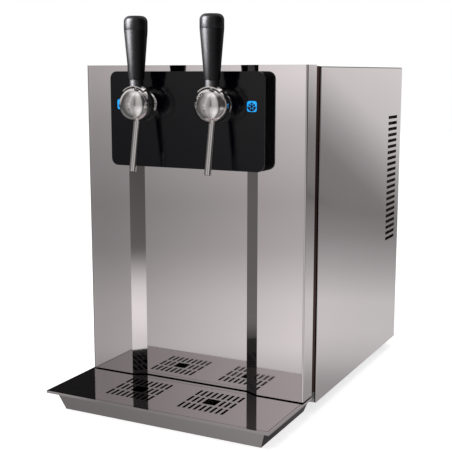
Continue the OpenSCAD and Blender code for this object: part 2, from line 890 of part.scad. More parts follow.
module lever_slot() {
    half = stem_r + slot_gap;
    wide = 2 * (hub_half + slot_gap);
    rotate([90, 0, 90]) linear_extrude(wide, center = true)
        polygon([[half, slot_low], [half, ball_d], swung([-half, ball_d]), swung([-half, slot_low])]);
}

module on_spout(r, up, down) {
    translate([0, 0, -ball_r]) rotate([-spout_tilt, 0, 0]) translate([0, 0, -down])
        cylinder(r = r, h = down + up);
}

module tap_body(side) color(polished) at_tap(side) difference() {
    union() {
        sphere(ball_r);
        on_shank(shank_r, shank_start, shank_end);
        translate([0, collar_end - collar_t, 0]) along_y()
            cylinder(r1 = collar_r - collar_flare, r2 = collar_r, h = collar_t);
    }
    sphere(cavity_r);
    translate([-ball_d, 0, 0]) along_x() cylinder(r = pin_r + run_fit, h = ball_d + pin_end);
    lever_slot();
    on_spout(spout_r + run_fit, spout_seat + 3 * cut, ball_r);
    on_shank(rod_r + run_fit, hub_r, seat_y + cut);
    on_shank(chamber_r, seat_y, shank_end + cut);
    for (x = [-1, 1]) translate([x * channel_x, 0, 0]) on_shank(channel_r, hub_r, seat_y + cut);
}

module tap_spout(side) color(polished) at_tap(side) difference() {
    on_spout(spout_r, spout_seat, spout_len);
    on_spout(spout_r - spout_wall, spout_seat + cut, spout_len + cut);
}

module tap_lever(side) color(zinc) at_tap(side) difference() {
    union() {
        along_x() cylinder(r = hub_r, h = 2 * hub_half, center = true);
        cylinder(r = stem_r, h = neck_top + stem_depth);
        translate([0, 0, -lever_arm]) cylinder(r = finger_r, h = lever_arm);
        translate([0, 0, -lever_arm]) sphere(finger_tip_r);
    }
    along_x() cylinder(r = pin_r + run_fit, h = 4 * hub_half, center = true);
}

// A neck on the curved saddle that covers the lever's slot and slides over the ball
module tap_neck(side) color(polished) at_tap(side) difference() {
    union() {
        cylinder(d = neck_d, h = neck_top);
        intersection() {
            sphere(ball_r + saddle_gap + saddle_t);
            span([-saddle_w / 2, -neck_d / 2, 0], [saddle_w / 2, saddle_back, ball_d]);
        }
    }
    sphere(ball_r + saddle_gap);
    cylinder(r = stem_r + run_fit, h = neck_top + cut);
}

module tap_handle(side) color(black_satin) at_tap(side) translate([0, 0, neck_top]) difference() {
    cylinder(d1 = handle_low_d, d2 = handle_top_d, h = handle_len);
    translate([0, 0, -cut]) cylinder(r = stem_r + run_fit, h = stem_depth + 2 * cut);
}

module handle_cap(side) color(black_satin) at_tap(side) translate([0, 0, neck_top + handle_len])
    rotate_extrude() {
        square([handle_top_d / 2, cap_h - cap_edge]);
        square([handle_top_d / 2 - cap_edge, cap_h]);
        translate([handle_top_d / 2 - cap_edge, cap_h - cap_edge]) circle(cap_edge);
    }

module valve_rod(side) color(satin) at_tap(side) difference() {
    union() {
        on_shank(rod_r, -rod_front, seat_y + seat_gap + cut);
        on_shank(head_r, seat_y + seat_gap, seat_y + seat_gap + head_t);
    }
    span([-finger_tip_r - finger_gap, -rod_slot_front, -ball_r],
         [finger_tip_r + finger_gap, rod_slot_rear, 0]);
}

module left_tap_body() tap_body(-1);
module left_tap_spout() tap_spout(-1);
module left_tap_lever() tap_lever(-1);
module left_tap_neck() tap_neck(-1);
module left_tap_handle() tap_handle(-1);
module left_handle_cap() handle_cap(-1);
module left_valve_rod() valve_rod(-1);
module right_tap_body() tap_body(1);
module right_tap_spout() tap_spout(1);
module right_tap_lever() tap_lever(1);
module right_tap_neck() tap_neck(1);
module right_tap_handle() tap_handle(1);
module right_handle_cap() handle_cap(1);
module right_valve_rod() valve_rod(1);

module lever_pins() color(satin)
    for (s = [-1, 1]) at_tap(s) along_x() cylinder(r = pin_r, h = 2 * pin_end, center = true);

module tap_gaskets() color(rubber)
    for (s = [-1, 1]) at_tap(s) difference() {
        on_shank(gasket_r, collar_end + slip, ball_r + ball_gap);
        on_shank(shank_r + run_fit, ball_r, ball_r + ball_gap + cut);
    }

module tap_lock_nuts() color(brass)
    for (s = [-1, 1]) at_tap(s) difference() {
        translate([0, panel_back, -lever_arm]) along_y() cylinder(r = nut_r, h = nut_t, $fn = 6);
        on_shank(shank_r + run_fit, panel_back - cut, panel_back + nut_t + cut);
    }

module tap_tails() color(brass)
    for (s = [-1, 1]) at_tap(s) difference() {
        union() {
            on_shank(chamber_r - run_fit, shank_end - tail_plug, shank_end);
            on_shank(hose_r, shank_end - cut, shank_end + tail_stub);
        }
        on_shank(tail_bore_r, shank_end - tail_plug - cut, shank_end + tail_stub + cut);
    }

// The cooling bath: foam jacket, liner, lid and what hangs in it
module bath_box(inset, low, top) {
    span([-bath_half + inset, bath_y0 + inset, low], [bath_half - inset, bath_y1 - inset, top]);
}

module bath_jacket() color("#d9cfae") framed() difference() {
    bath_box(0, floor_z, bath_top);
    bath_box(foam_t, floor_z + foam_t, bath_top + cut);
}

module bath_liner() color("#d5d8da") framed() difference() {
    bath_box(foam_t + slip, floor_z + foam_t, bath_top);
    bath_box(bath_wall, floor_z + foam_t + liner_t, bath_top + cut);
}

// Drills the lid upright at x
module lid_hole(x, r) {
    translate([x, bath_mid, bath_top - cut]) cylinder(r = r, h = lid_t + 2 * cut);
}

module bath_lid() color("#c9ccce") framed() difference() {
    bath_box(0, bath_top, lid_top);
    for (s = [-1, 1], r = [coil_r, coil_riser]) lid_hole(s * (coil_x + r), coil_tube_r + slip);
    lid_hole(coil_x, can_neck_r + slip);
    lid_hole(-coil_x, 2 * shaft_r);
}

// A coil that comes down through the lid, winds down and rises again outside its turns
function coil_path(side) = [
    [side * (coil_x + coil_r), bath_mid, riser_top],
    for (i = [0 : coil_turns * ring_steps])
        let (a = 360 * i / ring_steps)
        [
            side * (coil_x + coil_r * cos(a)), bath_mid + coil_r * sin(a),
            coil_top - coil_pitch * i / ring_steps
        ],
    [side * (coil_x + coil_riser), bath_mid, coil_low],
    [side * (coil_x + coil_riser), bath_mid, riser_top]
];

module evaporator_coil() color(copper) framed() tube(coil_path(1), coil_tube_r, 6);
module water_coil() color(satin) framed() tube(coil_path(-1), coil_tube_r, 6);

// Places the carbonator's three ports, counted from the front
function can_port_at(i) =
    [coil_x + can_port_shift[i] * can_port, bath_mid + (i - 1) * can_port, lid_top];

module carbonator() color(polished) framed() {
    translate([coil_x, bath_mid, can_low]) rounded_can(can_r, can_top - can_low, can_r / 3);
    translate([coil_x, bath_mid, can_top - cut]) cylinder(r = can_neck_r, h = lid_top - can_top + 2 * cut);
    translate([coil_x, bath_mid, lid_top]) cylinder(r = can_flange_r, h = can_flange_t);
    for (i = [0 : 2]) translate(can_port_at(i)) cylinder(r = hose_r, h = riser_top - lid_top);
}

module agitator_motor() color(black_satin) framed() translate([-coil_x, bath_mid, lid_top]) difference() {
    cylinder(r = stirrer_r, h = stirrer_h);
    translate([0, 0, -cut]) cylinder(r = shaft_r + run_fit, h = shaft_depth + 2 * cut);
}

module agitator_paddle() color(satin) framed() translate([-coil_x, bath_mid, stirrer_low]) {
    cylinder(r = shaft_r, h = lid_top - stirrer_low + shaft_depth);
    for (a = [0, 90]) rotate(a) span([-paddle_r, -paddle_t / 2, 0], [paddle_r, paddle_t / 2, paddle_h]);
}

module compressor() color(black_satin) framed() translate([comp_x, comp_y, 0]) {
    translate([-comp_grip - grommet_r, -comp_grip, comp_plate_z])
        cube([2 * (comp_grip + grommet_r), 2 * comp_grip, comp_plate_t]);
    translate([0, 0, comp_can_z - cut]) rounded_can(comp_r, comp_h + cut, comp_r / 3);
    for (p = [suction_at, discharge_at])
        translate(p) cylinder(r = comp_stub_r, h = comp_top + comp_stub_h - comp_can_z);
}

// Foot points of the compressor's two stubs, from its own axis
suction_at = [coil_x + coil_r - comp_x, -comp_r / 2, comp_can_z];
discharge_at = [comp_r / 2, comp_r / 3, comp_can_z];

module compressor_mounts() color(rubber) framed()
    for (x = [-1, 1], y = [-1, 1])
        translate([comp_x + x * comp_grip, comp_y + y * (comp_grip - grommet_r), floor_z])
            cylinder(r = grommet_r, h = grommet_h);

// Height of a condenser tube, counted from the top
function tube_z(i) = cond_mid_z + ((cond_tubes - 1) / 2 - i) * cond_pitch;

module fin_outline() {
    translate([-cond_d / 2, cond_low]) difference() {
        square([cond_d, cond_h]);
        for (i = [0 : cond_tubes - 1])
            translate([cond_d / 2, tube_z(i) - cond_low]) circle(cond_tube_r + run_fit);
    }
}

// Stands an outline drawn in Y and Z across the condenser at x
module across(x, t) {
    translate([x, cond_mid_y, 0]) rotate([90, 0, 90]) linear_extrude(t) children();
}

module condenser_fins() color("#c3c6c8") framed()
    for (i = [0 : fin_count - 1])
        across(-cond_half + cond_edge + i * fin_step - fin_t / 2, fin_t) fin_outline();

module condenser_plates() color(zinc) framed() for (s = [-1, 1])
    across(s * cond_half - (s < 0 ? end_plate_t : 0), end_plate_t) {
        translate([-cond_d / 2, floor_z]) square([cond_d, cond_low - floor_z]);
        fin_outline();
    }

// A half-turn of tube that joins two neighbouring runs
module return_bend(side) {
    translate([side * (cond_half + tube_stub), cond_mid_y, 0]) rotate([0, -side * 90, 0])
        rotate([90, 0, 0]) rotate(180) rotate_extrude(angle = 180)
            translate([cond_pitch / 2, 0]) circle(cond_tube_r);
}

module condenser_tube() color(copper) framed() {
    for (i = [0 : cond_tubes - 1])
        translate([-cond_half - tube_stub, cond_mid_y, tube_z(i)]) along_x()
            cylinder(r = cond_tube_r, h = 2 * (cond_half + tube_stub));
    for (i = [0 : cond_tubes - 2])
        translate([0, 0, tube_z(i) - cond_pitch / 2]) return_bend(i % 2 == 0 ? -1 : 1);
}

module fan_shroud() color(black_satin) framed() difference() {
    union() {
        difference() {
            span([-cond_half - end_plate_t, fan_y, cond_low], [cond_half + end_plate_t, cond_y0, cond_top]);
            translate([0, fan_y - cut, cond_mid_z]) along_y()
                cylinder(d = fan_d + 2 * fan_gap, h = shroud_d + 2 * cut);
        }
        span([-strap_w / 2, fan_y, cond_low], [strap_w / 2, fan_y + strap_t, cond_top]);
    }
    translate([0, fan_y - cut, cond_mid_z]) along_y() cylinder(r = 2 * shaft_r, h = strap_t + 2 * cut);
}

module fan_motor() color(zinc) framed()
    translate([0, fan_y - fan_motor_l, cond_mid_z]) along_y() difference() {
        cylinder(r = fan_motor_r, h = fan_motor_l);
        translate([0, 0, fan_motor_l - shaft_depth]) cylinder(r = shaft_r + run_fit, h = shaft_depth + cut);
    }

module fan_blades() color("#3a3b3d") framed() translate([0, fan_hub_y, cond_mid_z]) along_y() {
    cylinder(r = fan_hub_r, h = fan_hub_h);
    translate([0, 0, cut - fan_hub_in - shaft_depth]) cylinder(r = shaft_r, h = shaft_depth + fan_hub_in);
    for (i = [0 : blade_count - 1]) rotate(i * 360 / blade_count) translate([0, 0, fan_hub_h / 2])
        rotate([blade_pitch, 0, 0])
            span([fan_hub_r - blade_root, -blade_chord / 2, -blade_t / 2],
                 [fan_d / 2 - blade_t, blade_chord / 2, blade_t / 2]);
}

// The pump and its motor share one axis along X
module pump_axis(x0) {
    framed() translate([x0, comp_y, pump_z]) along_x() children();
}

module pump_motor() color("#4a4d50") {
    pump_axis(pump_x) difference() {
        cylinder(r = pump_motor_r, h = pump_motor_l);
        translate([0, 0, pump_motor_l / 2]) cylinder(r = rotor_shaft_r + run_fit, h = pump_motor_l);
    }
    framed() difference() {
        span([pump_x + pump_foot_in, comp_y - pump_foot * pump_motor_r, floor_z],
             [pump_mid - pump_foot_in, comp_y + pump_foot * pump_motor_r, pump_z]);
        translate([pump_x, comp_y, pump_z]) along_x() cylinder(r = pump_motor_r - cut, h = pump_motor_l);
    }
}

module pump_head() color(brass) {
    pump_axis(pump_mid) difference() {
        cylinder(r = pump_r, h = pump_l);
        translate([0, 0, -cut]) cylinder(r = rotor_r + rotor_gap, h = rotor_l + 2 * rotor_gap + cut);
    }
    framed() {
        translate([pump_port_x, comp_y, pump_z + pump_r - cut]) cylinder(r = hose_r, h = pump_stub + cut);
        translate([pump_port_x, comp_y + pump_r - cut, pump_z]) along_y()
            cylinder(r = hose_r, h = pump_stub + cut);
    }
}

module pump_rotor() color(satin) pump_axis(pump_mid) {
    translate([0, 0, -pump_motor_l / 2 + cut]) cylinder(r = rotor_shaft_r, h = pump_motor_l / 2 + cut);
    translate([0, 0, rotor_gap]) cylinder(r = rotor_r, h = rotor_l);
}

module inlet_fittings() color(brass) framed() for (x = [water_x, gas_x])
    translate([x, rear_inner - fitting_in, fitting_z]) along_y() difference() {
        union() {
            cylinder(r = fitting_r, h = fitting_in + sheet_t + fitting_reach);
            translate([0, 0, fitting_in + sheet_t]) cylinder(r = fitting_collar_r, h = fitting_collar_t);
        }
        translate([0, 0, fitting_in + sheet_t + fitting_reach - port_depth])
            cylinder(d = port_d, h = port_depth + cut);
    }

module inlet_valve() color("#e4e4e0") framed() {
    translate([water_x, valve_y1, fitting_z]) {
        span([-valve_w / 2, -valve_d, -valve_h / 2], [valve_w / 2, 0, valve_h / 2]);
        translate([0, -valve_d / 2, valve_h / 2 - cut]) cylinder(r = valve_coil_r, h = valve_coil_h + cut);
        for (s = [-1, 1]) translate([s * valve_out_x, -valve_d - valve_stub, 0])
            along_y() cylinder(r = hose_r, h = valve_stub + cut);
    }
}

module power_inlet() color(black_satin) framed() translate([inlet_x, rear_inner, inlet_z]) {
    hole_w = rocker_w / 2 + rocker_gap;
    hole_h = rocker_h / 2 + rocker_gap;
    difference() {
        union() {
            span([-inlet_w / 2, -inlet_body_d, -inlet_h / 2], [inlet_w / 2, sheet_t + cut, inlet_h / 2]);
            span([-inlet_w / 2 - inlet_rim, sheet_t, -inlet_h / 2 - inlet_rim],
                 [inlet_w / 2 + inlet_rim, inlet_face, inlet_h / 2 + inlet_rim]);
        }
        span([-socket_w / 2, inlet_face - socket_depth, socket_z - socket_h / 2],
             [socket_w / 2, inlet_face + cut, socket_z + socket_h / 2]);
        span([-hole_w, inlet_face - rocker_depth, rocker_z - hole_h],
             [hole_w, inlet_face + cut, rocker_z + hole_h]);
    }
    for (p = prong_at)
        translate([p.x, inlet_face - socket_depth - cut, socket_z + p.y])
            span([-prong_half.x, 0, -prong_half.y], [prong_half.x, prong_l + cut, prong_half.y]);
    translate([0, rocker_y, rocker_z]) along_x()
        cylinder(r = rocker_pin_r, h = rocker_w + 3 * rocker_gap, center = true);
}

module power_switch() color("#2a2a2c") framed()
    translate([inlet_x, rear_inner + rocker_y, inlet_z + rocker_z]) rotate([rocker_tilt, 0, 0]) difference() {
        cube([rocker_w, rocker_t, rocker_h - 2 * rocker_gap], center = true);
        along_x() cylinder(r = rocker_pin_r + run_fit, h = rocker_w + cut, center = true);
    }

module control_box() color(black_satin) framed() difference() {
    span([box_x0, rear_inner - box_d, box_low], [box_x0 + box_w, rear_inner, box_low + box_h]);
    span([box_x0 + box_wall, rear_inner - box_d + box_wall, box_low + box_wall],
         [knob_x - 2 * knob_shaft_r, rear_inner - box_wall, box_low + box_h - box_wall]);
    translate([knob_x, rear_inner - shaft_depth, knob_z]) along_y()
        cylinder(r = knob_shaft_r + run_fit, h = shaft_depth + cut);
}

module temperature_knob() color(black_satin) framed()
    translate([knob_x, cab_rear + knob_gap, knob_z]) along_y() {
        difference() {
            cylinder(d = knob_d, h = knob_h);
            translate([-knob_mark / 2, knob_d / 4, knob_h - knob_mark / 2])
                cube([knob_mark, knob_d, knob_mark]);
        }
        translate([0, 0, sheet_t - shaft_depth]) cylinder(r = knob_shaft_r, h = shaft_depth);
    }

// Each hose as its corner points, from a port to a port
tap_hose_bend = 14;
hose_y = bath_y1 + bay_gap + hose_r;
over_up = 24;
over_z = shank_z + over_up;
pump_over = pump_z + pump_motor_r + over_up;
lane = 2 * hose_r;
gas_hose_x = pump_end + 3 * hose_r;
gas_hose_z = cond_low - 5.5 * lane;
feed_y = cond_y0 - lane;
tap_hose_left = [
    [-tap_x, tail_y, shank_z],
    [-tap_x, bath_mid - stirrer_r - 4 * hose_r, shank_z],
    [-coil_x - coil_r, bath_mid, shank_z],
    [-coil_x - coil_r, bath_mid, riser_top]
];
tap_hose_right = [
    [tap_x, tail_y, shank_z],
    [can_port_at(0).x, can_port_at(0).y, shank_z],
    [can_port_at(0).x, can_port_at(0).y, riser_top]
];
pump_hose = [
    [pump_port_x, comp_y, pump_z + pump_r + pump_stub],
    [pump_port_x, comp_y, cond_low - 4 * lane],
    [pump_port_x, hose_y, cond_low - lane],
    [pump_port_x, hose_y, over_z],
    [can_port_at(1).x, can_port_at(1).y, over_z],
    [can_port_at(1).x, can_port_at(1).y, riser_top]
];
feed_hose = [
    [water_x + valve_out_x, valve_y1 - valve_d - valve_stub, fitting_z],
    [water_x + valve_out_x, feed_y, fitting_z],
    [pump_port_x, feed_y, pump_z],
    [pump_port_x, comp_y + pump_r + pump_stub, pump_z]
];
bath_hose = [
    [water_x - valve_out_x, valve_y1 - valve_d - valve_stub, fitting_z],
    [water_x - valve_out_x, feed_y, fitting_z],
    [water_x - valve_out_x, feed_y, pump_over],
    [water_x - valve_out_x, hose_y, pump_over],
    [water_x - valve_out_x, hose_y, over_z],
    [-coil_x - coil_riser, bath_mid, over_z],
    [-coil_x - coil_riser, bath_mid, riser_top]
];
gas_hose = [
    [gas_x, rear_inner - fitting_in, fitting_z],
    [gas_x, rear_inner - fitting_in - 3 * lane, fitting_z],
    [gas_x, rear_inner - fitting_in - 4 * lane, gas_hose_z],
    [gas_hose_x, comp_y + pump_r, gas_hose_z],
    [gas_hose_x, hose_y, gas_hose_z + 3 * lane],
    [gas_hose_x, hose_y, over_z + 1.5 * lane],
    [can_port_at(2).x, can_port_at(2).y, over_z + 1.5 * lane],
    [can_port_at(2).x, can_port_at(2).y, riser_top]
];

module hoses() color("#d8dde2") framed()
    for (p = [tap_hose_left, tap_hose_right, pump_hose, feed_hose, bath_hose, gas_hose])
        tube(route(p, tap_hose_bend), hose_r);

// Refrigerant pipes: bath to compressor, compressor to condenser, condenser to bath
pipe_bend = 9;
riser_x = cond_half + tube_stub + cond_pitch / 2 + cond_tube_r + 2 * pipe_r;
suction_pipe = [
    [coil_x + coil_r, bath_mid, riser_top],
    [coil_x + coil_r, bath_mid, over_z],
    [coil_x + coil_r, comp_y + suction_at.y, over_z],
    [coil_x + coil_r, comp_y + suction_at.y, comp_top + comp_stub_h]
];
discharge_top = comp_top + comp_stub_h + 1.5 * pipe_bend;
discharge_pipe = [
    [comp_x + discharge_at.x, comp_y + discharge_at.y, comp_top + comp_stub_h],
    [comp_x + discharge_at.x, comp_y + discharge_at.y, discharge_top],
    [riser_x, comp_y + discharge_at.y, discharge_top],
    [riser_x, cond_mid_y, discharge_top],
    [riser_x, cond_mid_y, tube_z(0)],
    [cond_half + tube_stub, cond_mid_y, tube_z(0)]
];
liquid_x = cond_half + tube_stub + 1.3 * pipe_bend;
liquid_pipe = [
    [cond_half + tube_stub, cond_mid_y, tube_z(cond_tubes - 1)],
    [liquid_x, cond_mid_y, tube_z(cond_tubes - 1)],
    [liquid_x, hose_y + 2 * pipe_bend, tube_z(cond_tubes - 1)],
    [liquid_x, hose_y + 2 * pipe_bend, over_z + 2 * pipe_bend],
    [coil_x + coil_riser, bath_mid, over_z + 2 * pipe_bend],
    [coil_x + coil_riser, bath_mid, riser_top]
];

module copper_pipes() color(copper) framed()
    for (p = [suction_pipe, discharge_pipe, liquid_pipe]) tube(route(p, pipe_bend), pipe_r);

module rear_screws() color(zinc) framed()
    at_rear_screws(screw_zs) translate([0, rear_inner - sheet_t, 0]) along_y() {
        cylinder(r = screw_r, h = 2 * sheet_t + cut);
        translate([0, 0, 2 * sheet_t]) cylinder(r = screw_head_r, h = screw_head_h);
    }

feet();
base_plate();
cabinet_cover();
rear_panel();
front_bulkhead();
panel_frame();
front_panel();
fascia_housing();
fascia_plate();
left_indicator();
right_indicator();
indicator_boards();
drip_tray();
tray_grille();
left_tap_body();
left_tap_spout();
left_tap_lever();
left_tap_neck();
left_tap_handle();
left_handle_cap();
left_valve_rod();
right_tap_body();
right_tap_spout();
right_tap_lever();
right_tap_neck();
right_tap_handle();
right_handle_cap();
right_valve_rod();
lever_pins();
tap_gaskets();
tap_lock_nuts();
tap_tails();
bath_jacket();
bath_liner();
bath_lid();
evaporator_coil();
water_coil();
carbonator();
agitator_motor();
agitator_paddle();
compressor();
compressor_mounts();
condenser_fins();
condenser_tube();
condenser_plates();
fan_shroud();
fan_motor();
fan_blades();
pump_motor();
pump_head();
pump_rotor();
inlet_fittings();
inlet_valve();
power_inlet();
power_switch();
control_box();
temperature_knob();
hoses();
copper_pipes();
rear_screws();
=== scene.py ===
"""Dresses a countertop sparkling water dispenser: finishes, detailed pieces, camera and stage."""

import math

import bmesh
import bpy
from bpy.props import FloatProperty, FloatVectorProperty, IntProperty, PointerProperty
from mathutils import Matrix, Vector


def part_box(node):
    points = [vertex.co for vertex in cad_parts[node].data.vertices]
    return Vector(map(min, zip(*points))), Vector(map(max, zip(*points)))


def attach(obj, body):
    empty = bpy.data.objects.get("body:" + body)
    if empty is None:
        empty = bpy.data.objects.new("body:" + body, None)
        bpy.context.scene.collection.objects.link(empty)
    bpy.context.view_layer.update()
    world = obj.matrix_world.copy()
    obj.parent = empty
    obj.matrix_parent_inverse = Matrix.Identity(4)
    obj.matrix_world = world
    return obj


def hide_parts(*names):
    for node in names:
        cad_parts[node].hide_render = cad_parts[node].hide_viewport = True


bl_info = {
    "name": "Sparkling water dispenser",
    "version": (1, 0, 0),
    "blender": (4, 5, 0),
    "location": "View3D > Sidebar > Dispenser",
    "description": "Finishes and detailed pieces for a countertop sparkling water dispenser",
    "category": "Object",
}

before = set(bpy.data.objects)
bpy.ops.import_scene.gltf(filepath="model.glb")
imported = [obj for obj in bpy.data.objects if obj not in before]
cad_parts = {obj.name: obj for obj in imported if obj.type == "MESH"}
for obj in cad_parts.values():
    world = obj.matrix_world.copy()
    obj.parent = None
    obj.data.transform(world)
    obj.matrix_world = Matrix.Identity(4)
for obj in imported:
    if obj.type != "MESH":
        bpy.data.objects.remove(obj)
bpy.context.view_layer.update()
MM = 0.001
SIDES = ("left", "right")
UPWARD = Vector((0, 0, 1))
BACKWARD = Vector((0, 1, 0))
# Points within NEAR metres are one, faces within FLAT radians are one plane, edges over SHARP radians are
# rims, and those over SMOOTH radians show as creases
NEAR = 1e-6
FLAT = 0.01
SHARP = 0.6
SMOOTH = math.radians(35)

# Nodes that keep their CAD shape, by the finish that they get
KEPT_NODES = {
    "mirror_steel": ["front_panel", "carbonator"],
    "cover_steel": ["cabinet_cover"],
    "tray_steel": ["drip_tray"],
    "satin_steel": ["left_valve_rod", "right_valve_rod", "lever_pins", "water_coil", "agitator_paddle",
                    "pump_rotor"],
    "chrome_plate": [f"{side}_tap_{part}" for part in ("body", "spout", "neck", "lever") for side in SIDES],
    "zinc_sheet": ["base_plate", "rear_panel", "condenser_plates", "fan_motor"],
    "brown_sheet": ["front_bulkhead", "panel_frame"],
    "black_sheet": ["compressor"],
    "black_matt": ["fascia_housing"],
    "black_plastic": ["agitator_motor", "fan_shroud", "fan_blades", "power_inlet", "power_switch",
                      "control_box", "pump_motor"],
    "circuit_board": ["indicator_boards"],
    "white_plastic": ["inlet_valve", "bath_liner", "bath_lid"],
    "hose_plastic": ["hoses"],
    "foam": ["bath_jacket"],
    "rubber": ["tap_gaskets", "compressor_mounts"],
    "copper": ["evaporator_coil", "condenser_tube", "copper_pipes"],
    "brass": ["tap_lock_nuts", "tap_tails", "pump_head", "inlet_fittings"],
    "fin_aluminium": ["condenser_fins"],
}


class DispenserColours(bpy.types.PropertyGroup):
    """Colours of the dispenser's finishes"""

    steel: FloatVectorProperty(
        name="Steel", description="Reflected tint of the polished sheet steel",
        subtype="COLOR", size=3, default=(0.725, 0.676, 0.683), min=0, max=1)
    chrome: FloatVectorProperty(
        name="Chrome", description="Reflected tint of the plated taps",
        subtype="COLOR", size=3, default=(0.72, 0.695, 0.68), min=0, max=1)
    gloss_black: FloatVectorProperty(
        name="Gloss black", description="Colour of the glossy fascia plate",
        subtype="COLOR", size=3, default=(0.0008, 0.0008, 0.002), min=0, max=1)
    handle: FloatVectorProperty(
        name="Handle", description="Colour of the black tap handles",
        subtype="COLOR", size=3, default=(0.001, 0.001, 0.0011), min=0, max=1)
    lens: FloatVectorProperty(
        name="Lens", description="Colour of the lit indicators",
        subtype="COLOR", size=3, default=(0.004, 0.36, 0.92), min=0, max=1)
    symbol: FloatVectorProperty(
        name="Symbol", description="Colour of the symbols on the indicators",
        subtype="COLOR", size=3, default=(0.0008, 0.006, 0.03), min=0, max=1)


class DispenserSizes(bpy.types.PropertyGroup):
    """Sizes of the details that the solids leave plain"""

    edge_round: FloatProperty(
        name="Edge round", description="Rounding of the plates' cut edges",
        default=0.0004, min=0.0001, max=0.002, subtype="DISTANCE", unit="LENGTH")
    cap_round: FloatProperty(
        name="Cap round", description="Rounding of the handle caps' top edge",
        default=0.0078, min=0.002, max=0.012, subtype="DISTANCE", unit="LENGTH")
    parting: FloatProperty(
        name="Parting", description="Rounding of the line between a handle and its cap",
        default=0.0003, min=0.0001, max=0.001, subtype="DISTANCE", unit="LENGTH")
    symbol_size: FloatProperty(
        name="Symbol size", description="Width of the symbols on the indicators",
        default=0.0108, min=0.004, max=0.0125, subtype="DISTANCE", unit="LENGTH")
    grille_gap: FloatProperty(
        name="Grille gap", description="Extra room round the grille in its opening",
        default=0.0004, min=0, max=0.002, subtype="DISTANCE", unit="LENGTH")
    knob_flutes: IntProperty(
        name="Knob flutes", description="Grip flutes round the knob", default=18, min=6, max=40)


class DispenserStage(bpy.types.PropertyGroup):
    """Camera and light"""

    camera_place: FloatVectorProperty(
        name="Camera place", description="Where the camera stands",
        subtype="TRANSLATION", unit="LENGTH", size=3, default=(0.6114, -1.2587, 0.4696))
    camera_turn: FloatProperty(
        name="Camera turn", description="How far the camera stands round to the right of the front",
        subtype="ANGLE", unit="ROTATION", default=math.radians(26.99))
    camera_dip: FloatProperty(
        name="Camera dip", description="How far the camera looks down",
        subtype="ANGLE", unit="ROTATION", default=math.radians(9.5))
    camera_lens: FloatProperty(
        name="Camera lens", description="Focal length in millimetres on a 36 mm sensor",
        default=72.93, min=20, max=200)
    soft_light: FloatProperty(
        name="Soft light", description="Level of the even light from all round", default=0.55, min=0, max=2)
    key_power: FloatProperty(
        name="Key power", description="Power of the soft lamp at the upper left",
        subtype="POWER", unit="POWER", default=22, min=0, max=200)
    handle_power: FloatProperty(
        name="Handle power", description="Power of the lamp that lights the handles",
        subtype="POWER", unit="POWER", default=260, min=0, max=600)
    top_power: FloatProperty(
        name="Top power", description="Power of the soft lamp overhead",
        subtype="POWER", unit="POWER", default=14, min=0, max=200)


# Node helpers

def add_node(tree, kind, values=None, **settings):
    """Adds a node, with its sockets' values by name and its own settings."""
    made = tree.nodes.new(kind)
    for key, value in settings.items():
        setattr(made, key, value)
    for key, value in (values or {}).items():
        made.inputs[key].default_value = value
    return made


def new_finish(name, colour, roughness, metallic=0.0, **sockets):
    """A material with its plain values on the shader's own sockets."""
    material = bpy.data.materials.new(name)
    material.use_nodes = True
    shader = material.node_tree.nodes["Principled BSDF"]
    shader.inputs["Base Color"].default_value = (*colour, 1)
    shader.inputs["Roughness"].default_value = roughness
    shader.inputs["Metallic"].default_value = metallic
    for key, value in sockets.items():
        shader.inputs[key.replace("_", " ").title().replace("Ior", "IOR")].default_value = value
    return material, material.node_tree, shader


def place(tree, stretch=(1, 1, 1)):
    """The piece's own coordinates, in metres, stretched along each axis."""
    mapping = add_node(tree, "ShaderNodeMapping", {"Scale": stretch})
    coordinates = add_node(tree, "ShaderNodeTexCoord")
    tree.links.new(coordinates.outputs["Object"], mapping.inputs["Vector"])
    return mapping.outputs["Vector"]


def noise(tree, scale, detail, stretch=(1, 1, 1)):
    """Soft cloudy pattern."""
    texture = add_node(tree, "ShaderNodeTexNoise", {"Scale": scale, "Detail": detail})
    tree.links.new(place(tree, stretch), texture.inputs["Vector"])
    return texture.outputs["Fac"]


def cells(tree, scale, output="Distance"):
    """Pattern of packed cells."""
    texture = add_node(tree, "ShaderNodeTexVoronoi", {"Scale": scale})
    tree.links.new(place(tree), texture.inputs["Vector"])
    return texture.outputs[output]


def spread(tree, source, low, high, span=(0.3, 0.7)):
    """Stretches a pattern's middle range to the values low to high."""
    mapped = add_node(tree, "ShaderNodeMapRange",
                      {"From Min": span[0], "From Max": span[1], "To Min": low, "To Max": high})
    tree.links.new(source, mapped.inputs["Value"])
    return mapped.outputs["Result"]


def combine(tree, operation, a, b):
    """A math node on two values, each of them a socket or a number."""
    made = add_node(tree, "ShaderNodeMath", operation=operation)
    for socket, value in zip(made.inputs, (a, b)):
        if isinstance(value, (int, float)):
            socket.default_value = value
        else:
            tree.links.new(value, socket)
    return made.outputs[0]


def axes(tree):
    """The piece's own X, Y and Z, in metres."""
    parts = add_node(tree, "ShaderNodeSeparateXYZ")
    tree.links.new(place(tree), parts.inputs[0])
    return parts.outputs


def blend(tree, factor, first, second):
    """Mixes two colours, each of them a socket or four numbers."""
    mix = add_node(tree, "ShaderNodeMix", data_type="RGBA")
    tree.links.new(factor, mix.inputs[0])
    for socket, value in zip((socket for socket in mix.inputs if socket.type == "RGBA"), (first, second)):
        if isinstance(value, tuple):
            socket.default_value = value
        else:
            tree.links.new(value, socket)
    return next(socket for socket in mix.outputs if socket.type == "RGBA")


def feed(shader, socket):
    """What drives one of the shader's sockets."""
    return shader.inputs[socket].links[0].from_socket


def drive(tree, source, shader, socket):
    """Feeds a pattern to one of the shader's sockets."""
    tree.links.new(source, shader.inputs[socket])


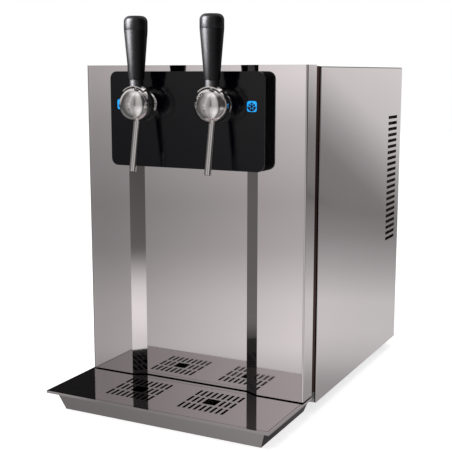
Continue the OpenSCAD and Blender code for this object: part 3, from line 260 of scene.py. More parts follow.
def fade(tree, source, dark, light, span=(0, 1)):
    """A colour that passes from dark to light by a pattern."""
    ramp = add_node(tree, "ShaderNodeValToRGB")
    for element, position, colour in zip(ramp.color_ramp.elements, span, (dark, light)):
        element.position = position
        element.color = (*colour, 1)
    tree.links.new(source, ramp.inputs["Fac"])
    return ramp.outputs["Color"]


def tint(tree, source, shader, dark, light, span=(0.3, 0.7)):
    """Varies the base colour between two colours by a pattern."""
    drive(tree, fade(tree, source, dark, light, span), shader, "Base Color")


def roughen(tree, shader, scale, detail, low, high):
    """Varies the roughness by a cloudy pattern."""
    drive(tree, spread(tree, noise(tree, scale, detail), low, high), shader, "Roughness")


def dent(tree, source, shader, strength, distance):
    """Raises and lowers the surface by a pattern."""
    bump = add_node(tree, "ShaderNodeBump", {"Strength": strength, "Distance": distance})
    tree.links.new(source, bump.inputs["Height"])
    drive(tree, bump.outputs["Normal"], shader, "Normal")


def mix_shaders(tree, factor, first, second):
    """A shader that passes from one to another by a factor."""
    mix = add_node(tree, "ShaderNodeMixShader")
    for source, socket in zip((factor, first.outputs[0], second.outputs[0]), mix.inputs):
        tree.links.new(source, socket)
    return mix


def shade(colour, factor):
    """A lighter or darker colour."""
    return tuple(min(1.0, c * factor) for c in colour)


# Finishes

def polished_sheet(name, colour, edge=1.0):
    """Mirror-polished sheet with faint wipe marks. Edge is its share of the white glare at flat angles."""
    material, tree, shader = new_finish(name, colour, 0.05, 1.0, specular_tint=(edge, edge, edge, 1))
    roughen(tree, shader, 9, 4, 0.03, 0.07)
    tint(tree, noise(tree, 5, 2), shader, shade(colour, 0.985), shade(colour, 1.015))
    dent(tree, noise(tree, 700, 2, (1, 1, 0.03)), shader, 0.02, 0.00002)
    return material


def satin_metal(name, colour):
    """Turned or drawn metal with fine lines."""
    material, tree, shader = new_finish(name, colour, 0.3, 1.0)
    roughen(tree, shader, 60, 3, 0.22, 0.36)
    dent(tree, noise(tree, 900, 2, (0.05, 1, 1)), shader, 0.12, 0.00003)
    return material


def plated(name, colour):
    """Chrome plate with a very soft orange peel."""
    material, tree, shader = new_finish(name, colour, 0.13, 1.0)
    roughen(tree, shader, 40, 3, 0.11, 0.15)
    dent(tree, noise(tree, 220, 2), shader, 0.02, 0.00003)
    return material


def galvanised(name, colour):
    """Zinc-coated sheet with its crystal spangle."""
    material, tree, shader = new_finish(name, colour, 0.4, 1.0)
    spangle = cells(tree, 90, output="Color")
    tint(tree, spangle, shader, shade(colour, 0.86), shade(colour, 1.1), (0.1, 0.9))
    drive(tree, spread(tree, spangle, 0.3, 0.5, (0, 1)), shader, "Roughness")
    dent(tree, noise(tree, 400, 2), shader, 0.05, 0.00005)
    return material


def powder_coat(name, colour):
    """Baked paint with a fine orange peel."""
    material, tree, shader = new_finish(name, colour, 0.5)
    roughen(tree, shader, 120, 3, 0.42, 0.58)
    dent(tree, noise(tree, 1500, 2), shader, 0.15, 0.0001)
    return material


def gloss_plate(name, colour):
    """Glossy acrylic: nearly black, with faint wipe marks."""
    material, tree, shader = new_finish(name, colour, 0.1, specular_ior_level=0.28)
    roughen(tree, shader, 14, 4, 0.09, 0.14)
    dent(tree, noise(tree, 90, 2), shader, 0.01, 0.00005)
    return material


def moulded(name, colour, roughness=0.4, grain=900, gloss=0.5):
    """Moulded plastic with a fine spark-eroded grain."""
    material, tree, shader = new_finish(name, colour, roughness, specular_ior_level=gloss)
    roughen(tree, shader, 80, 3, roughness - 0.06, roughness + 0.06)
    tint(tree, noise(tree, 25, 2), shader, shade(colour, 0.9), shade(colour, 1.1))
    dent(tree, noise(tree, grain, 2), shader, 0.1, 0.00006)
    return material


def handle_finish(name, colour, roughness, gloss):
    """Black handle moulding with very fine turning marks, glossy at the front; behind its axis the gloss
    fades to nothing, a painted shade that keeps the handle lamp's glints off its back.
    """
    material, tree, shader = new_finish(name, colour, roughness, specular_ior_level=gloss,
                                        specular_tint=(0.96, 0.94, 1, 1))
    roughen(tree, shader, 70, 3, roughness - 0.03, roughness + 0.03)
    dent(tree, noise(tree, 900, 2, (0.05, 0.05, 1)), shader, 0.04, 0.00003)
    # Painted shade: the gloss falls to nothing just behind the axis, so the back of the handle shows no
    # reflection of the handle lamp
    axis = middle("left_tap_handle").y
    turned = (axis - 1 * MM, axis + 3 * MM)
    drive(tree, spread(tree, axes(tree)["Y"], gloss, 0, turned), shader, "Specular IOR Level")
    return material


def cover_finish(name, colour):
    """Polished cabinet sheet with a brushed top, and painted shade darkening its front edge where it meets
    the shadow gap.
    """
    material = polished_sheet(name, colour)
    tree = material.node_tree
    shader = tree.nodes["Principled BSDF"]
    near, far = 0.1 * MM, 0.3 * MM
    low, high = corners("cabinet_cover")
    parts = axes(tree)
    brushed = spread(tree, parts["Z"], 0, 0.38, (high.z - far, high.z - near))
    drive(tree, combine(tree, "MAXIMUM", feed(shader, "Roughness"), brushed), shader, "Roughness")
    # Painted shade: a dark brown band on the sheet's front edge stands in for the shade in the gap between
    # panel and cabinet
    beyond_edge_shade = spread(tree, parts["Y"], 0, 1, (low.y + near, low.y + far))
    edge = (0.03, 0.02, 0.018, 1)
    drive(tree, blend(tree, beyond_edge_shade, edge, feed(shader, "Base Color")), shader, "Base Color")
    return material


def tray_finish(name, colour):
    """Polished tray whose bowl, inside its slanted walls, is dull and near black, mottled a little: painted
    shade under the grille.
    """
    material = polished_sheet(name, colour)
    tree = material.node_tree
    shader = tree.nodes["Principled BSDF"]
    # How far the bowl's floor lies in from the rim, the walls' lean, and the room at the grille and the floor
    foot = 19.75 * MM
    lean = 9 / 26.5
    past_grille = 10.75 * MM
    under_grille = 0.5 * MM
    over_floor = 0.75 * MM
    low, high = corners("drip_tray")
    grille_low, grille_high = corners("tray_grille")
    front, rear = low.y + foot, grille_high.y + past_grille
    x, y, z = axes(tree)
    wall = combine(tree, "MULTIPLY", z, lean)
    across = combine(tree, "ABSOLUTE", x, 0)
    along = combine(tree, "ABSOLUTE", combine(tree, "SUBTRACT", y, (front + rear) / 2), 0)
    inside = combine(tree, "LESS_THAN", combine(tree, "SUBTRACT", across, wall), high.x - foot)
    for value, test, limit in ((combine(tree, "SUBTRACT", along, wall), "LESS_THAN", (rear - front) / 2),
                               (z, "GREATER_THAN", over_floor),
                               (z, "LESS_THAN", grille_low.z - under_grille)):
        inside = combine(tree, "MULTIPLY", inside, combine(tree, test, value, limit))
    # Painted shade: the bowl's floor and walls under the grille go near black, standing in for the shade that
    # falls there
    bowl_shade = fade(tree, noise(tree, 120, 4), (0.010, 0.009, 0.009), (0.022, 0.02, 0.02))
    drive(tree, blend(tree, inside, feed(shader, "Base Color"), bowl_shade), shader, "Base Color")
    dull = combine(tree, "MULTIPLY", inside, 0.5)
    drive(tree, combine(tree, "MAXIMUM", feed(shader, "Roughness"), dull), shader, "Roughness")
    return material


def lit_lens(name, colour):
    """Back-lit blue plastic, a little brighter in places."""
    material, tree, shader = new_finish(name, shade(colour, 0.6), 0.25, emission_strength=0.75)
    glow = fade(tree, noise(tree, 180, 2), shade(colour, 0.85), colour)
    drive(tree, glow, shader, "Emission Color")
    return material


def soft_rubber(name, colour):
    """Dull rubber with a coarse grain."""
    material, tree, shader = new_finish(name, colour, 0.75)
    roughen(tree, shader, 60, 3, 0.68, 0.85)
    dent(tree, noise(tree, 700, 3), shader, 0.2, 0.0001)
    return material


def bare_metal(name, colour, dull):
    """Copper, brass or aluminium with patches of tarnish."""
    material, tree, shader = new_finish(name, colour, 0.25, 1.0)
    patches = noise(tree, 45, 5)
    tint(tree, patches, shader, dull, colour)
    drive(tree, spread(tree, patches, 0.42, 0.2), shader, "Roughness")
    dent(tree, noise(tree, 500, 2), shader, 0.05, 0.00004)
    return material


def board_finish(name):
    """Green circuit board with copper tracks under its mask."""
    material, tree, shader = new_finish(name, (0.02, 0.12, 0.05), 0.35)
    tint(tree, cells(tree, 500), shader, (0.05, 0.2, 0.08), (0.015, 0.09, 0.04), (0.2, 0.4))
    return material


def foam_finish(name):
    """Foam of pressed beads."""
    material, tree, shader = new_finish(name, (0.7, 0.6, 0.4), 0.9)
    beads = cells(tree, 260)
    tint(tree, beads, shader, (0.62, 0.52, 0.33), (0.74, 0.65, 0.45), (0.1, 0.7))
    dent(tree, beads, shader, 0.4, 0.0008)
    return material


def make_finishes(colours):
    """All the finishes, by the names that the operators use."""
    steel = tuple(colours.steel)
    handle = tuple(colours.handle)
    makers = {
        "mirror_steel": (polished_sheet, steel),
        "satin_steel": (satin_metal, shade(steel, 0.9)),
        "chrome_plate": (plated, tuple(colours.chrome)),
        "zinc_sheet": (galvanised, (0.56, 0.57, 0.58)),
        "brown_sheet": (polished_sheet, (0.075, 0.043, 0.038), 0.5),
        "black_sheet": (powder_coat, (0.02, 0.014, 0.012)),
        "black_gloss": (gloss_plate, tuple(colours.gloss_black)),
        "black_plastic": (moulded, (0.012, 0.012, 0.012)),
        "black_matt": (moulded, (0.0004, 0.0004, 0.0004), 0.6, 900, 0.02),
        "handle_black": (handle_finish, handle, 0.42, 0.2),
        "cap_black": (handle_finish, handle, 0.38, 0.3),
        "neck_black": (handle_finish, handle, 0.52, 0.45),
        "cover_steel": (cover_finish, steel),
        "tray_steel": (tray_finish, steel),
        "symbol": (moulded, tuple(colours.symbol), 0.3),
        "blue_lens": (lit_lens, tuple(colours.lens)),
        "circuit_board": (board_finish,),
        "white_plastic": (moulded, (0.72, 0.73, 0.72), 0.35),
        "hose_plastic": (moulded, (0.66, 0.7, 0.74), 0.25, 500),
        "foam": (foam_finish,),
        "rubber": (soft_rubber, (0.014, 0.014, 0.014)),
        "copper": (bare_metal, (0.83, 0.42, 0.26), (0.55, 0.25, 0.15)),
        "brass": (bare_metal, (0.78, 0.58, 0.25), (0.6, 0.42, 0.18)),
        "fin_aluminium": (bare_metal, (0.75, 0.76, 0.77), (0.62, 0.63, 0.64)),
    }
    return {name: maker(f"{name}_finish", *values) for name, (maker, *values) in makers.items()}


FINISHES = {}


# Operators

class DISPENSER_OT_stage(bpy.types.Operator):
    """Sets the camera, the floor, the lamps and the studio round the dispenser"""

    bl_idname = "dispenser.stage"
    bl_label = "Stage"

    def execute(self, context):
        settings = context.scene.dispenser_stage
        add_camera(context, settings)
        add_floor()
        add_world(context, settings)
        add_lamp("key_lamp", (-1.5, -1.6, 1.9), 1.2, settings.key_power)
        add_lamp("top_lamp", (0.1, -0.1, 2.3), 1.4, settings.top_power)
        add_handle_lamp(settings)
        context.scene.view_settings.view_transform = "Standard"
        return {"FINISHED"}


def add_camera(context, settings):
    """The camera, at the place from which the photograph was taken."""
    data = bpy.data.cameras.new("camera")
    data.sensor_width = 36
    data.lens = settings.camera_lens
    camera = bpy.data.objects.new("camera", data)
    camera.location = settings.camera_place
    camera.rotation_euler = (math.pi / 2 - settings.camera_dip, 0, settings.camera_turn)
    context.scene.collection.objects.link(camera)
    context.scene.camera = camera


# Where the lamps look, where the handles are, and half the floor's width
LAMP_AIM = Vector((0, 0, 0.25))
HANDLES = Vector((0, -0.21, 0.5))
FLOOR_REACH = 6


def add_lamp(name, spot, size, power):
    """A soft square lamp that looks at the middle of the dispenser."""
    data = bpy.data.lights.new(name, "AREA")
    data.size = size
    data.energy = power
    lamp = bpy.data.objects.new(name, data)
    lamp.location = spot
    lamp.rotation_euler = (LAMP_AIM - Vector(spot)).to_track_quat("-Z", "Y").to_euler()
    lamp.visible_glossy = False
    bpy.context.scene.collection.objects.link(lamp)
    return lamp


def add_handle_lamp(settings):
    """A tall soft lamp at the left that lights only the black handles, so that the steel doesn't show it."""
    heading, climb, reach = math.radians(-47), math.radians(18), 1.6
    wide, tall = 1.1, 1.5
    level = Vector((math.sin(heading), -math.cos(heading), 0))
    spot = HANDLES + reach * (math.cos(climb) * level + math.sin(climb) * UPWARD)
    lamp = add_lamp("handle_lamp", spot, wide, settings.handle_power)
    lamp.data.shape = "RECTANGLE"
    lamp.data.size_y = tall
    lamp.visible_glossy = True
    lamp.light_linking.receiver_collection = bpy.data.collections.new("lit_handles")


def add_floor():
    """A pale floor that is white to the camera, keeps the shadow and stays out of the steel."""
    bm = bmesh.new()
    bmesh.ops.create_grid(bm, x_segments=1, y_segments=1, size=FLOOR_REACH)
    floor = link_mesh("floor", bm)
    material = bpy.data.materials.new("floor_finish")
    material.use_nodes = True
    tree = material.node_tree
    tree.nodes.clear()
    pale = add_node(tree, "ShaderNodeBsdfDiffuse", {"Color": (0.82, 0.82, 0.82, 1)})
    glow = add_node(tree, "ShaderNodeEmission", {"Color": (1, 1, 1, 1), "Strength": 0.62})
    both = add_node(tree, "ShaderNodeAddShader")
    clear = add_node(tree, "ShaderNodeBsdfTransparent")
    tree.links.new(pale.outputs[0], both.inputs[0])
    tree.links.new(glow.outputs[0], both.inputs[1])
    path = add_node(tree, "ShaderNodeLightPath")
    mix = mix_shaders(tree, path.outputs["Is Glossy Ray"], both, clear)
    out = add_node(tree, "ShaderNodeOutputMaterial")
    tree.links.new(mix.outputs[0], out.inputs["Surface"])
    floor.data.materials.append(material)


# What the steel sees of the studio: level by height in degrees, and its share by heading. Heading 0 is
# straight ahead of the dispenser, and positive headings lie to its right. FRONT is what the panel shows,
# RIGHT and LEFT what its slanted folds show, ROOM the soft surroundings in the taps, STREAK the bright strip
# low on their right, RIM their left edge, FOLD the panel's right-hand bend, LOWER and UPPER the cabinet's
# left side and its top, and SIDE the right sides of panel and cabinet
FRONT = [(-90, 0.35), (-55, 0.45), (-45, 0.5), (-36, 0.42), (-25, 0.32), (-20, 0.46), (-17, 0.9),
         (-14.2, 0.84), (-11, 0.56), (-8, 0.5), (-3, 0.7), (0, 0.97), (3, 0.92), (7, 0.64), (14, 0.58),
         (22, 0.6), (45, 0.6), (90, 0.8)]
FRONT_AROUND = [(-180, 0), (-39, 0), (-37, 0.46), (-35, 0.5), (-22, 1), (-21, 1), (-19, 0), (180, 0)]
RIGHT = [(-90, 0.6), (-50, 0.75), (-19, 0.77), (-16.8, 0.8), (-15.2, 1.02), (-14.5, 1.02), (-13.2, 0.85),
         (-12, 0.45), (-11, 0.14), (-5, 0.09), (-1, 0.05), (3, 0.02), (25, 0.02), (45, 0.5), (90, 0.8)]
RIGHT_AROUND = [(-180, 0), (16.2, 0), (16.9, 1), (19.8, 1), (20.5, 0), (180, 0)]
LEFT = [(-90, 0.3), (-40, 0.13), (-22, 0.12), (-18.5, 0.045), (-16.6, 0.045), (-15.6, 0.175), (-12, 0.15),
        (-3, 0.13), (1, 0.03), (20, 0.03), (35, 0.2), (90, 0.8)]
LEFT_AROUND = [(-180, 0), (-78.6, 0), (-77.8, 1), (-74.6, 1), (-73.8, 0), (180, 0)]
ROOM = [(-90, 0.5), (-76, 0.75), (-60, 0.75), (-45, 1), (-30, 1), (0, 1), (20, 1.1), (45, 1.25), (75, 1.45),
        (90, 1.5)]
ROOM_AROUND = [(-180, 0), (-120, 0.02), (-95, 0.05), (-78.6, 0.11), (-77.8, 0), (-74.6, 0), (-73.8, 0.12),
               (-60, 0.165), (-50, 0.26), (-39, 0.39), (-37, 0.1), (-35, 0), (-21, 0), (-19, 0.56),
               (-15, 0.56), (-8, 0.48), (0, 0.38), (8, 0.3), (16.2, 0.32), (16.9, 0), (19.8, 0),
               (20.5, 0.38), (30, 0.5), (37, 0.55), (50, 0.55), (63, 0.45), (69, 0.04), (120, 0.02),
               (135, 0), (180, 0)]
RIM = [(-90, 0), (-6, 0), (8, 1), (55, 1), (90, 0.5)]
RIM_AROUND = [(-180, 0), (-137, 0), (-128, 0.9), (-105, 0.7), (-90, 0), (180, 0)]
STREAK = [(-90, 0.3), (-75, 0.55), (-40, 0.55), (-20, 0.32), (-9, 0.1), (-3, 0), (90, 0)]
STREAK_AROUND = [(-180, 0), (-8, 0), (10, 0.5), (16.2, 0.6), (16.9, 0), (19.8, 0), (20.5, 0.7), (32, 0.8),
                 (45, 1), (66, 1), (78, 0), (180, 0)]
FOLD = [(-90, 0.3), (-30, 0.4), (-21, 0.5), (-18.5, 0.95), (-14, 1.05), (-11, 0.55), (-8, 0.3), (-4, 0.1),
        (0, 0.05), (90, 0.02)]
FOLD_AROUND = [(-180, 0), (76, 0), (84, 0.75), (98, 0.6), (112, 0.35), (128, 0.6), (140, 1), (148, 0),
               (180, 0)]
LOWER = [(-90, 0.2), (-45, 0.22), (-20, 0.22), (-12, 0.1), (-6, 0), (90, 0)]
LOWER_AROUND = [(-180, 0), (-168, 0), (-152, 1), (-105, 1), (-92, 0.35), (-82, 0), (180, 0)]
UPPER = [(-90, 0), (22, 0), (29, 0.3), (60, 0.3), (90, 0.1)]
UPPER_AROUND = [(-180, 1), (-138, 1), (-128, 0), (105, 0), (118, 1), (180, 1)]
SIDE_LOW = [(-90, 0.1), (-34, 0.05), (-19, 0.39), (-17.5, 0.62), (-16, 0.73), (-14, 0.72), (-12, 0.49),
            (-10, 0.31), (-8, 0.22), (-6, 0), (90, 0)]
SIDE_HIGH = [(-90, 0), (-11, 0), (-8, 0.235), (-5, 0.26), (-3, 0.41), (0, 0.75), (5, 0.9), (30, 0.6),
             (90, 1)]
SIDE_AROUND = [(-180, 0.4), (-160, 0.4), (-152, 0.02), (-125, 0), (138, 0), (149, 1), (159, 1), (165, 0.89),
               (168, 0.87), (180, 0.4)]
# Heading at which the upper side band stands level, and how far it climbs for each degree past that
SIDE_TURN = 159.5
SIDE_CLIMB = 0.95
# Heights between which the soft light overhead comes up, and its level
OVERHEAD_RISE = (45, 75)
OVERHEAD = 0.45
BANDS = ((FRONT, FRONT_AROUND), (RIGHT, RIGHT_AROUND), (LEFT, LEFT_AROUND), (ROOM, ROOM_AROUND),
         (RIM, RIM_AROUND), (STREAK, STREAK_AROUND), (FOLD, FOLD_AROUND), (LOWER, LOWER_AROUND),
         (UPPER, UPPER_AROUND))


def level_ramp(tree, source, stops, position):
    """A grey ramp whose stops are given in degrees."""
    ramp = add_node(tree, "ShaderNodeValToRGB")
    elements = ramp.color_ramp.elements
    while len(elements) < len(stops):
        elements.new(1.0)
    for element, (angle, level) in zip(elements, stops):
        element.position = position(angle)
        element.color = (level, level, level, 1)
    tree.links.new(source, ramp.inputs["Fac"])
    return ramp.outputs["Color"]


def add_world(context, settings):
    """White behind the dispenser, even light on it, and a studio of soft bands for its steel to show."""
    world = bpy.data.worlds.new("studio")
    context.scene.world = world
    world.use_nodes = True
    tree = world.node_tree
    tree.nodes.clear()
    coordinates = add_node(tree, "ShaderNodeTexCoord")
    parts = add_node(tree, "ShaderNodeSeparateXYZ")
    tree.links.new(coordinates.outputs["Generated"], parts.inputs[0])
    x, y, z = parts.outputs
    height = combine(tree, "MULTIPLY_ADD", z, 0.5)
    height.node.inputs[2].default_value = 0.5
    behind = combine(tree, "MULTIPLY", y, -1)
    heading = combine(tree, "MULTIPLY_ADD", combine(tree, "ARCTAN2", x, behind), 0.5 / math.pi)
    heading.node.inputs[2].default_value = 0.5

    def by_height(angle):
        return 0.5 + 0.5 * math.sin(math.radians(angle))

    def by_heading(angle):
        return 0.5 + angle / 360

    def share(levels, around):
        return combine(tree, "MULTIPLY", level_ramp(tree, height, levels, by_height),
                       level_ramp(tree, heading, around, by_heading))

    low, high = (by_height(angle) for angle in OVERHEAD_RISE)
    overhead = add_node(tree, "ShaderNodeMapRange",
                        {"From Min": low, "From Max": high, "To Min": 0, "To Max": OVERHEAD},
                        interpolation_type="SMOOTHSTEP")
    tree.links.new(height, overhead.inputs["Value"])
    climb = combine(tree, "MULTIPLY", combine(tree, "SUBTRACT", heading, by_heading(SIDE_TURN)),
                    180 * math.radians(SIDE_CLIMB))
    upper = level_ramp(tree, combine(tree, "ADD", height, climb), SIDE_HIGH, by_height)
    side = combine(tree, "MAXIMUM", upper, level_ramp(tree, height, SIDE_LOW, by_height))
    seen = combine(tree, "MULTIPLY", side, level_ramp(tree, heading, SIDE_AROUND, by_heading))
    for levels, around in BANDS:
        seen = combine(tree, "ADD", seen, share(levels, around))
    seen = combine(tree, "ADD", seen, overhead.outputs["Result"])

    path = add_node(tree, "ShaderNodeLightPath")
    even = add_node(tree, "ShaderNodeBackground", {"Color": (1, 1, 1, 1), "Strength": settings.soft_light})
    studio = add_node(tree, "ShaderNodeBackground", {"Color": (1, 0.985, 0.985, 1)})
    white = add_node(tree, "ShaderNodeBackground", {"Color": (1, 1, 1, 1), "Strength": 1})
    tree.links.new(seen, studio.inputs["Strength"])
    mirrored = combine(tree, "MAXIMUM", path.outputs["Is Glossy Ray"], path.outputs["Is Transmission Ray"])
    mix = mix_shaders(tree, mirrored, even, studio)
    mix = mix_shaders(tree, path.outputs["Is Camera Ray"], mix, white)
    out = add_node(tree, "ShaderNodeOutputWorld")
    tree.links.new(mix.outputs[0], out.inputs["Surface"])


class DISPENSER_OT_finishes(bpy.types.Operator):
    """Gives every piece that keeps its CAD shape its finish"""

    bl_idname = "dispenser.finishes"
    bl_label = "Finishes"

    def execute(self, context):
        FINISHES.update(make_finishes(context.scene.dispenser_colours))
        for finish, nodes in KEPT_NODES.items():
            for name in nodes:
                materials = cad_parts[name].data.materials
                materials.clear()
                materials.append(FINISHES[finish])
        return {"FINISHED"}


# Modelling helpers

def link_mesh(name, bm):
    """Turns a bmesh into an object at the origin."""
    mesh = bpy.data.meshes.new(name)
    bm.to_mesh(mesh)
    bm.free()
    made = bpy.data.objects.new(name, mesh)
    bpy.context.scene.collection.objects.link(made)
    return made


def finish_piece(name, bm, finish, slot, body, *nodes):
    """Turns a bmesh into a piece that rides on a body and stands for CAD nodes, if any."""
    made = link_mesh(name, bm)
    made.data.shade_smooth()
    made.data.set_sharp_from_angle(angle=SMOOTH)
    made.data.materials.append(FINISHES[finish])
    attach(made, body)
    if nodes:
        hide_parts(*nodes)
    return made


def close_up(bm):
    """Joins points that lie together and turns all faces outwards."""
    bmesh.ops.remove_doubles(bm, verts=bm.verts, dist=NEAR)
    bmesh.ops.recalc_face_normals(bm, faces=bm.faces)


def turn(bm, outline, centre, steps=64, axis=UPWARD):
    """Turns an outline of radius and height, counted along the axis, round it."""
    verts = [bm.verts.new(centre + Vector((r, 0, 0)) + axis * h) for r, h in outline]
    edges = [bm.edges.new(pair) for pair in zip(verts, verts[1:])]
    bmesh.ops.spin(bm, geom=verts + edges, cent=centre, axis=axis, angle=2 * math.pi, steps=steps,
                   use_merge=True)
    close_up(bm)


def tube_outline(inner, outer, low, high):
    """Outline of a tube's wall, for turning."""
    return [(outer, low), (outer, high), (inner, high), (inner, low), (outer, low)]


def swing(bm, verts, angle):
    """Turns points round the Y axis."""
    bmesh.ops.rotate(bm, cent=(0, 0, 0), matrix=Matrix.Rotation(angle, 3, "Y"), verts=verts)


def add_block(bm, *size):
    """Points of a new block round the origin."""
    verts = bmesh.ops.create_cube(bm, size=1)["verts"]
    bmesh.ops.scale(bm, vec=size, verts=verts)
    return verts


def add_sheet(bm, width, depth):
    """Points of a new level rectangle round the origin."""
    verts = bmesh.ops.create_grid(bm, x_segments=1, y_segments=1, size=0.5)["verts"]
    bmesh.ops.scale(bm, vec=(width, depth, 1), verts=verts)
    return verts


def round_off(bm, edges, offset, segments):
    """Rounds edges."""
    bmesh.ops.bevel(bm, geom=edges, offset=offset, offset_type="OFFSET", affect="EDGES", segments=segments,
                    profile=0.5, material=-1, clamp_overlap=True)


def ring_at(bm, centre, radius, height, axis=UPWARD):
    """Edges of the circle of a turned piece at a radius and a height."""
    def on_ring(vert):
        offset = vert.co - centre
        along = offset.dot(axis)
        return abs(along - height) < NEAR and abs((offset - axis * along).length - radius) < NEAR
    return [edge for edge in bm.edges if all(on_ring(vert) for vert in edge.verts)]


def rounded_loop(bm, width, height, radius, place_at):
    """Edges of a rectangle with rounded corners, drawn in X and Z."""
    verts = add_sheet(bm, width, height)
    bmesh.ops.rotate(bm, cent=(0, 0, 0), matrix=Matrix.Rotation(math.pi / 2, 3, "X"), verts=verts)
    bmesh.ops.translate(bm, vec=place_at, verts=verts)
    return bevelled_outline(bm, verts, radius)


def bevelled_outline(bm, verts, radius):
    """Rounds the corners of a lone face and leaves only its outline."""
    if radius > 0:
        made = bmesh.ops.bevel(bm, geom=verts, offset=radius, offset_type="OFFSET", affect="VERTICES",
                               segments=8, profile=0.5, material=-1)
        verts = made["verts"]
    face = verts[0].link_faces[0]
    edges = list(face.edges)
    bmesh.ops.delete(bm, geom=[face], context="FACES_ONLY")
    return edges


def thicken(bm, edges, along):
    """Fills outlines, holes left open, and pushes the sheet along a vector."""
    bmesh.ops.triangle_fill(bm, edges=edges, use_beauty=True)
    bmesh.ops.dissolve_limit(bm, angle_limit=FLAT, verts=bm.verts, edges=bm.edges,
                             use_dissolve_boundaries=False)
    made = bmesh.ops.extrude_face_region(bm, geom=list(bm.faces))["geom"]
    bmesh.ops.translate(bm, vec=along, verts=[item for item in made if isinstance(item, bmesh.types.BMVert)])
    close_up(bm)


def rim_edges(bm, axis, level):
    """Sharp edges that lie at one level along an axis."""
    return [edge for edge in bm.edges
            if all(abs(vert.co[axis] - level) < NEAR for vert in edge.verts)
            and len(edge.link_faces) == 2 and edge.calc_face_angle(0) > SHARP]


def corners(node):
    """Low and high corner of a CAD node's box."""
    return [Vector(corner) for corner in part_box(node)]


def middle(node):
    """Middle of a CAD node's box."""
    low, high = corners(node)
    return (low + high) / 2


# Tap handles: radius at the foot, height of the foot over the ball's middle, the sleeve round the neck, and
# the saddle on which the neck stands
HANDLE_FOOT_R = 10.25 * MM
HANDLE_LIFT = 32.5 * MM
SLEEVE_R = 9.05 * MM
SLEEVE_T = 0.2 * MM
SADDLE_R = 25.9 * MM


class DISPENSER_OT_handles(bpy.types.Operator):
    """Turns the tapered tap handles, their caps and the black sleeves round their necks"""

    bl_idname = "dispenser.handles"
    bl_label = "Handles"

    def execute(self, context):
        sizes = context.scene.dispenser_sizes
        for side in SIDES:
            low, high = corners(f"{side}_tap_handle")
            cap_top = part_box(f"{side}_handle_cap")[1][2]
            foot = Vector(((low.x + high.x) / 2, (low.y + high.y) / 2, low.z))
            wide = (high.x - low.x) / 2
            tall = high.z - low.z
            bm = bmesh.new()
            turn(bm, [(0, 0), (HANDLE_FOOT_R, 0), (wide, tall), (0, tall)], foot)
            round_off(bm, ring_at(bm, foot, HANDLE_FOOT_R, 0), 2 * sizes.parting, 3)
            round_off(bm, ring_at(bm, foot, wide, tall), sizes.parting, 2)
            grip = finish_piece(f"{side}_handle_grip", bm, "handle_black", "black_plastic", f"{side}_lever",
                                f"{side}_tap_handle")
            base = Vector((foot.x, foot.y, high.z))
            tall = cap_top - high.z
            bm = bmesh.new()
            turn(bm, [(0, 0), (wide, 0), (wide, tall), (0, tall)], base)
            round_off(bm, ring_at(bm, base, wide, tall), sizes.cap_round, 10)
            round_off(bm, ring_at(bm, base, wide, 0), sizes.parting, 2)
            end = finish_piece(f"{side}_handle_end", bm, "cap_black", "black_plastic", f"{side}_lever",
                               f"{side}_handle_cap")
            rest = math.sqrt(SADDLE_R ** 2 - SLEEVE_R ** 2) - HANDLE_LIFT
            bm = bmesh.new()
            turn(bm, tube_outline(SLEEVE_R - SLEEVE_T, SLEEVE_R, rest, 0), foot)
            sleeve = finish_piece(f"{side}_neck_sleeve", bm, "neck_black", "black_plastic", f"{side}_lever")
            for piece in (grip, end, sleeve):
                bpy.data.collections["lit_handles"].objects.link(piece)
        return {"FINISHED"}


# Fascia: the plate's corners, its openings for the indicators and the tap shanks, and the indicators in them
PLATE_ROUND = 10 * MM
OPENING = 14.2 * MM
OPENING_ROUND = 3.2 * MM
SHANK_HOLE_R = 11.2 * MM
LENS = 13.8 * MM
LENS_ROUND = 3 * MM
SYMBOL_T = 0.1 * MM


class DISPENSER_OT_fascia(bpy.types.Operator):
    """Makes the glossy fascia plate with its openings and softened edges"""

    bl_idname = "dispenser.fascia"
    bl_label = "Fascia"

    def execute(self, context):
        sizes = context.scene.dispenser_sizes
        low, high = corners("fascia_plate")
        centre = (low + high) / 2
        bm = bmesh.new()
        edges = rounded_loop(bm, high.x - low.x, high.z - low.z, PLATE_ROUND, (centre.x, low.y, centre.z))
        for side in SIDES:
            lens = middle(f"{side}_indicator")
            edges += rounded_loop(bm, OPENING, OPENING, OPENING_ROUND, (lens.x, low.y, lens.z))
            shank = middle(f"{side}_valve_rod")
            made = bmesh.ops.create_circle(bm, cap_ends=False, segments=48, radius=SHANK_HOLE_R,
                                           matrix=Matrix.Translation((shank.x, low.y, shank.z))
                                           @ Matrix.Rotation(math.pi / 2, 4, "X"))
            edges += list({edge for vert in made["verts"] for edge in vert.link_edges})
        thicken(bm, edges, (0, high.y - low.y, 0))
        round_off(bm, rim_edges(bm, 1, low.y), sizes.edge_round, 3)
        plate = finish_piece("fascia_front", bm, "black_gloss", "black_gloss", "machine", "fascia_plate")
        plate.modifiers.new("flats", "WEIGHTED_NORMAL").keep_sharp = True
        return {"FINISHED"}


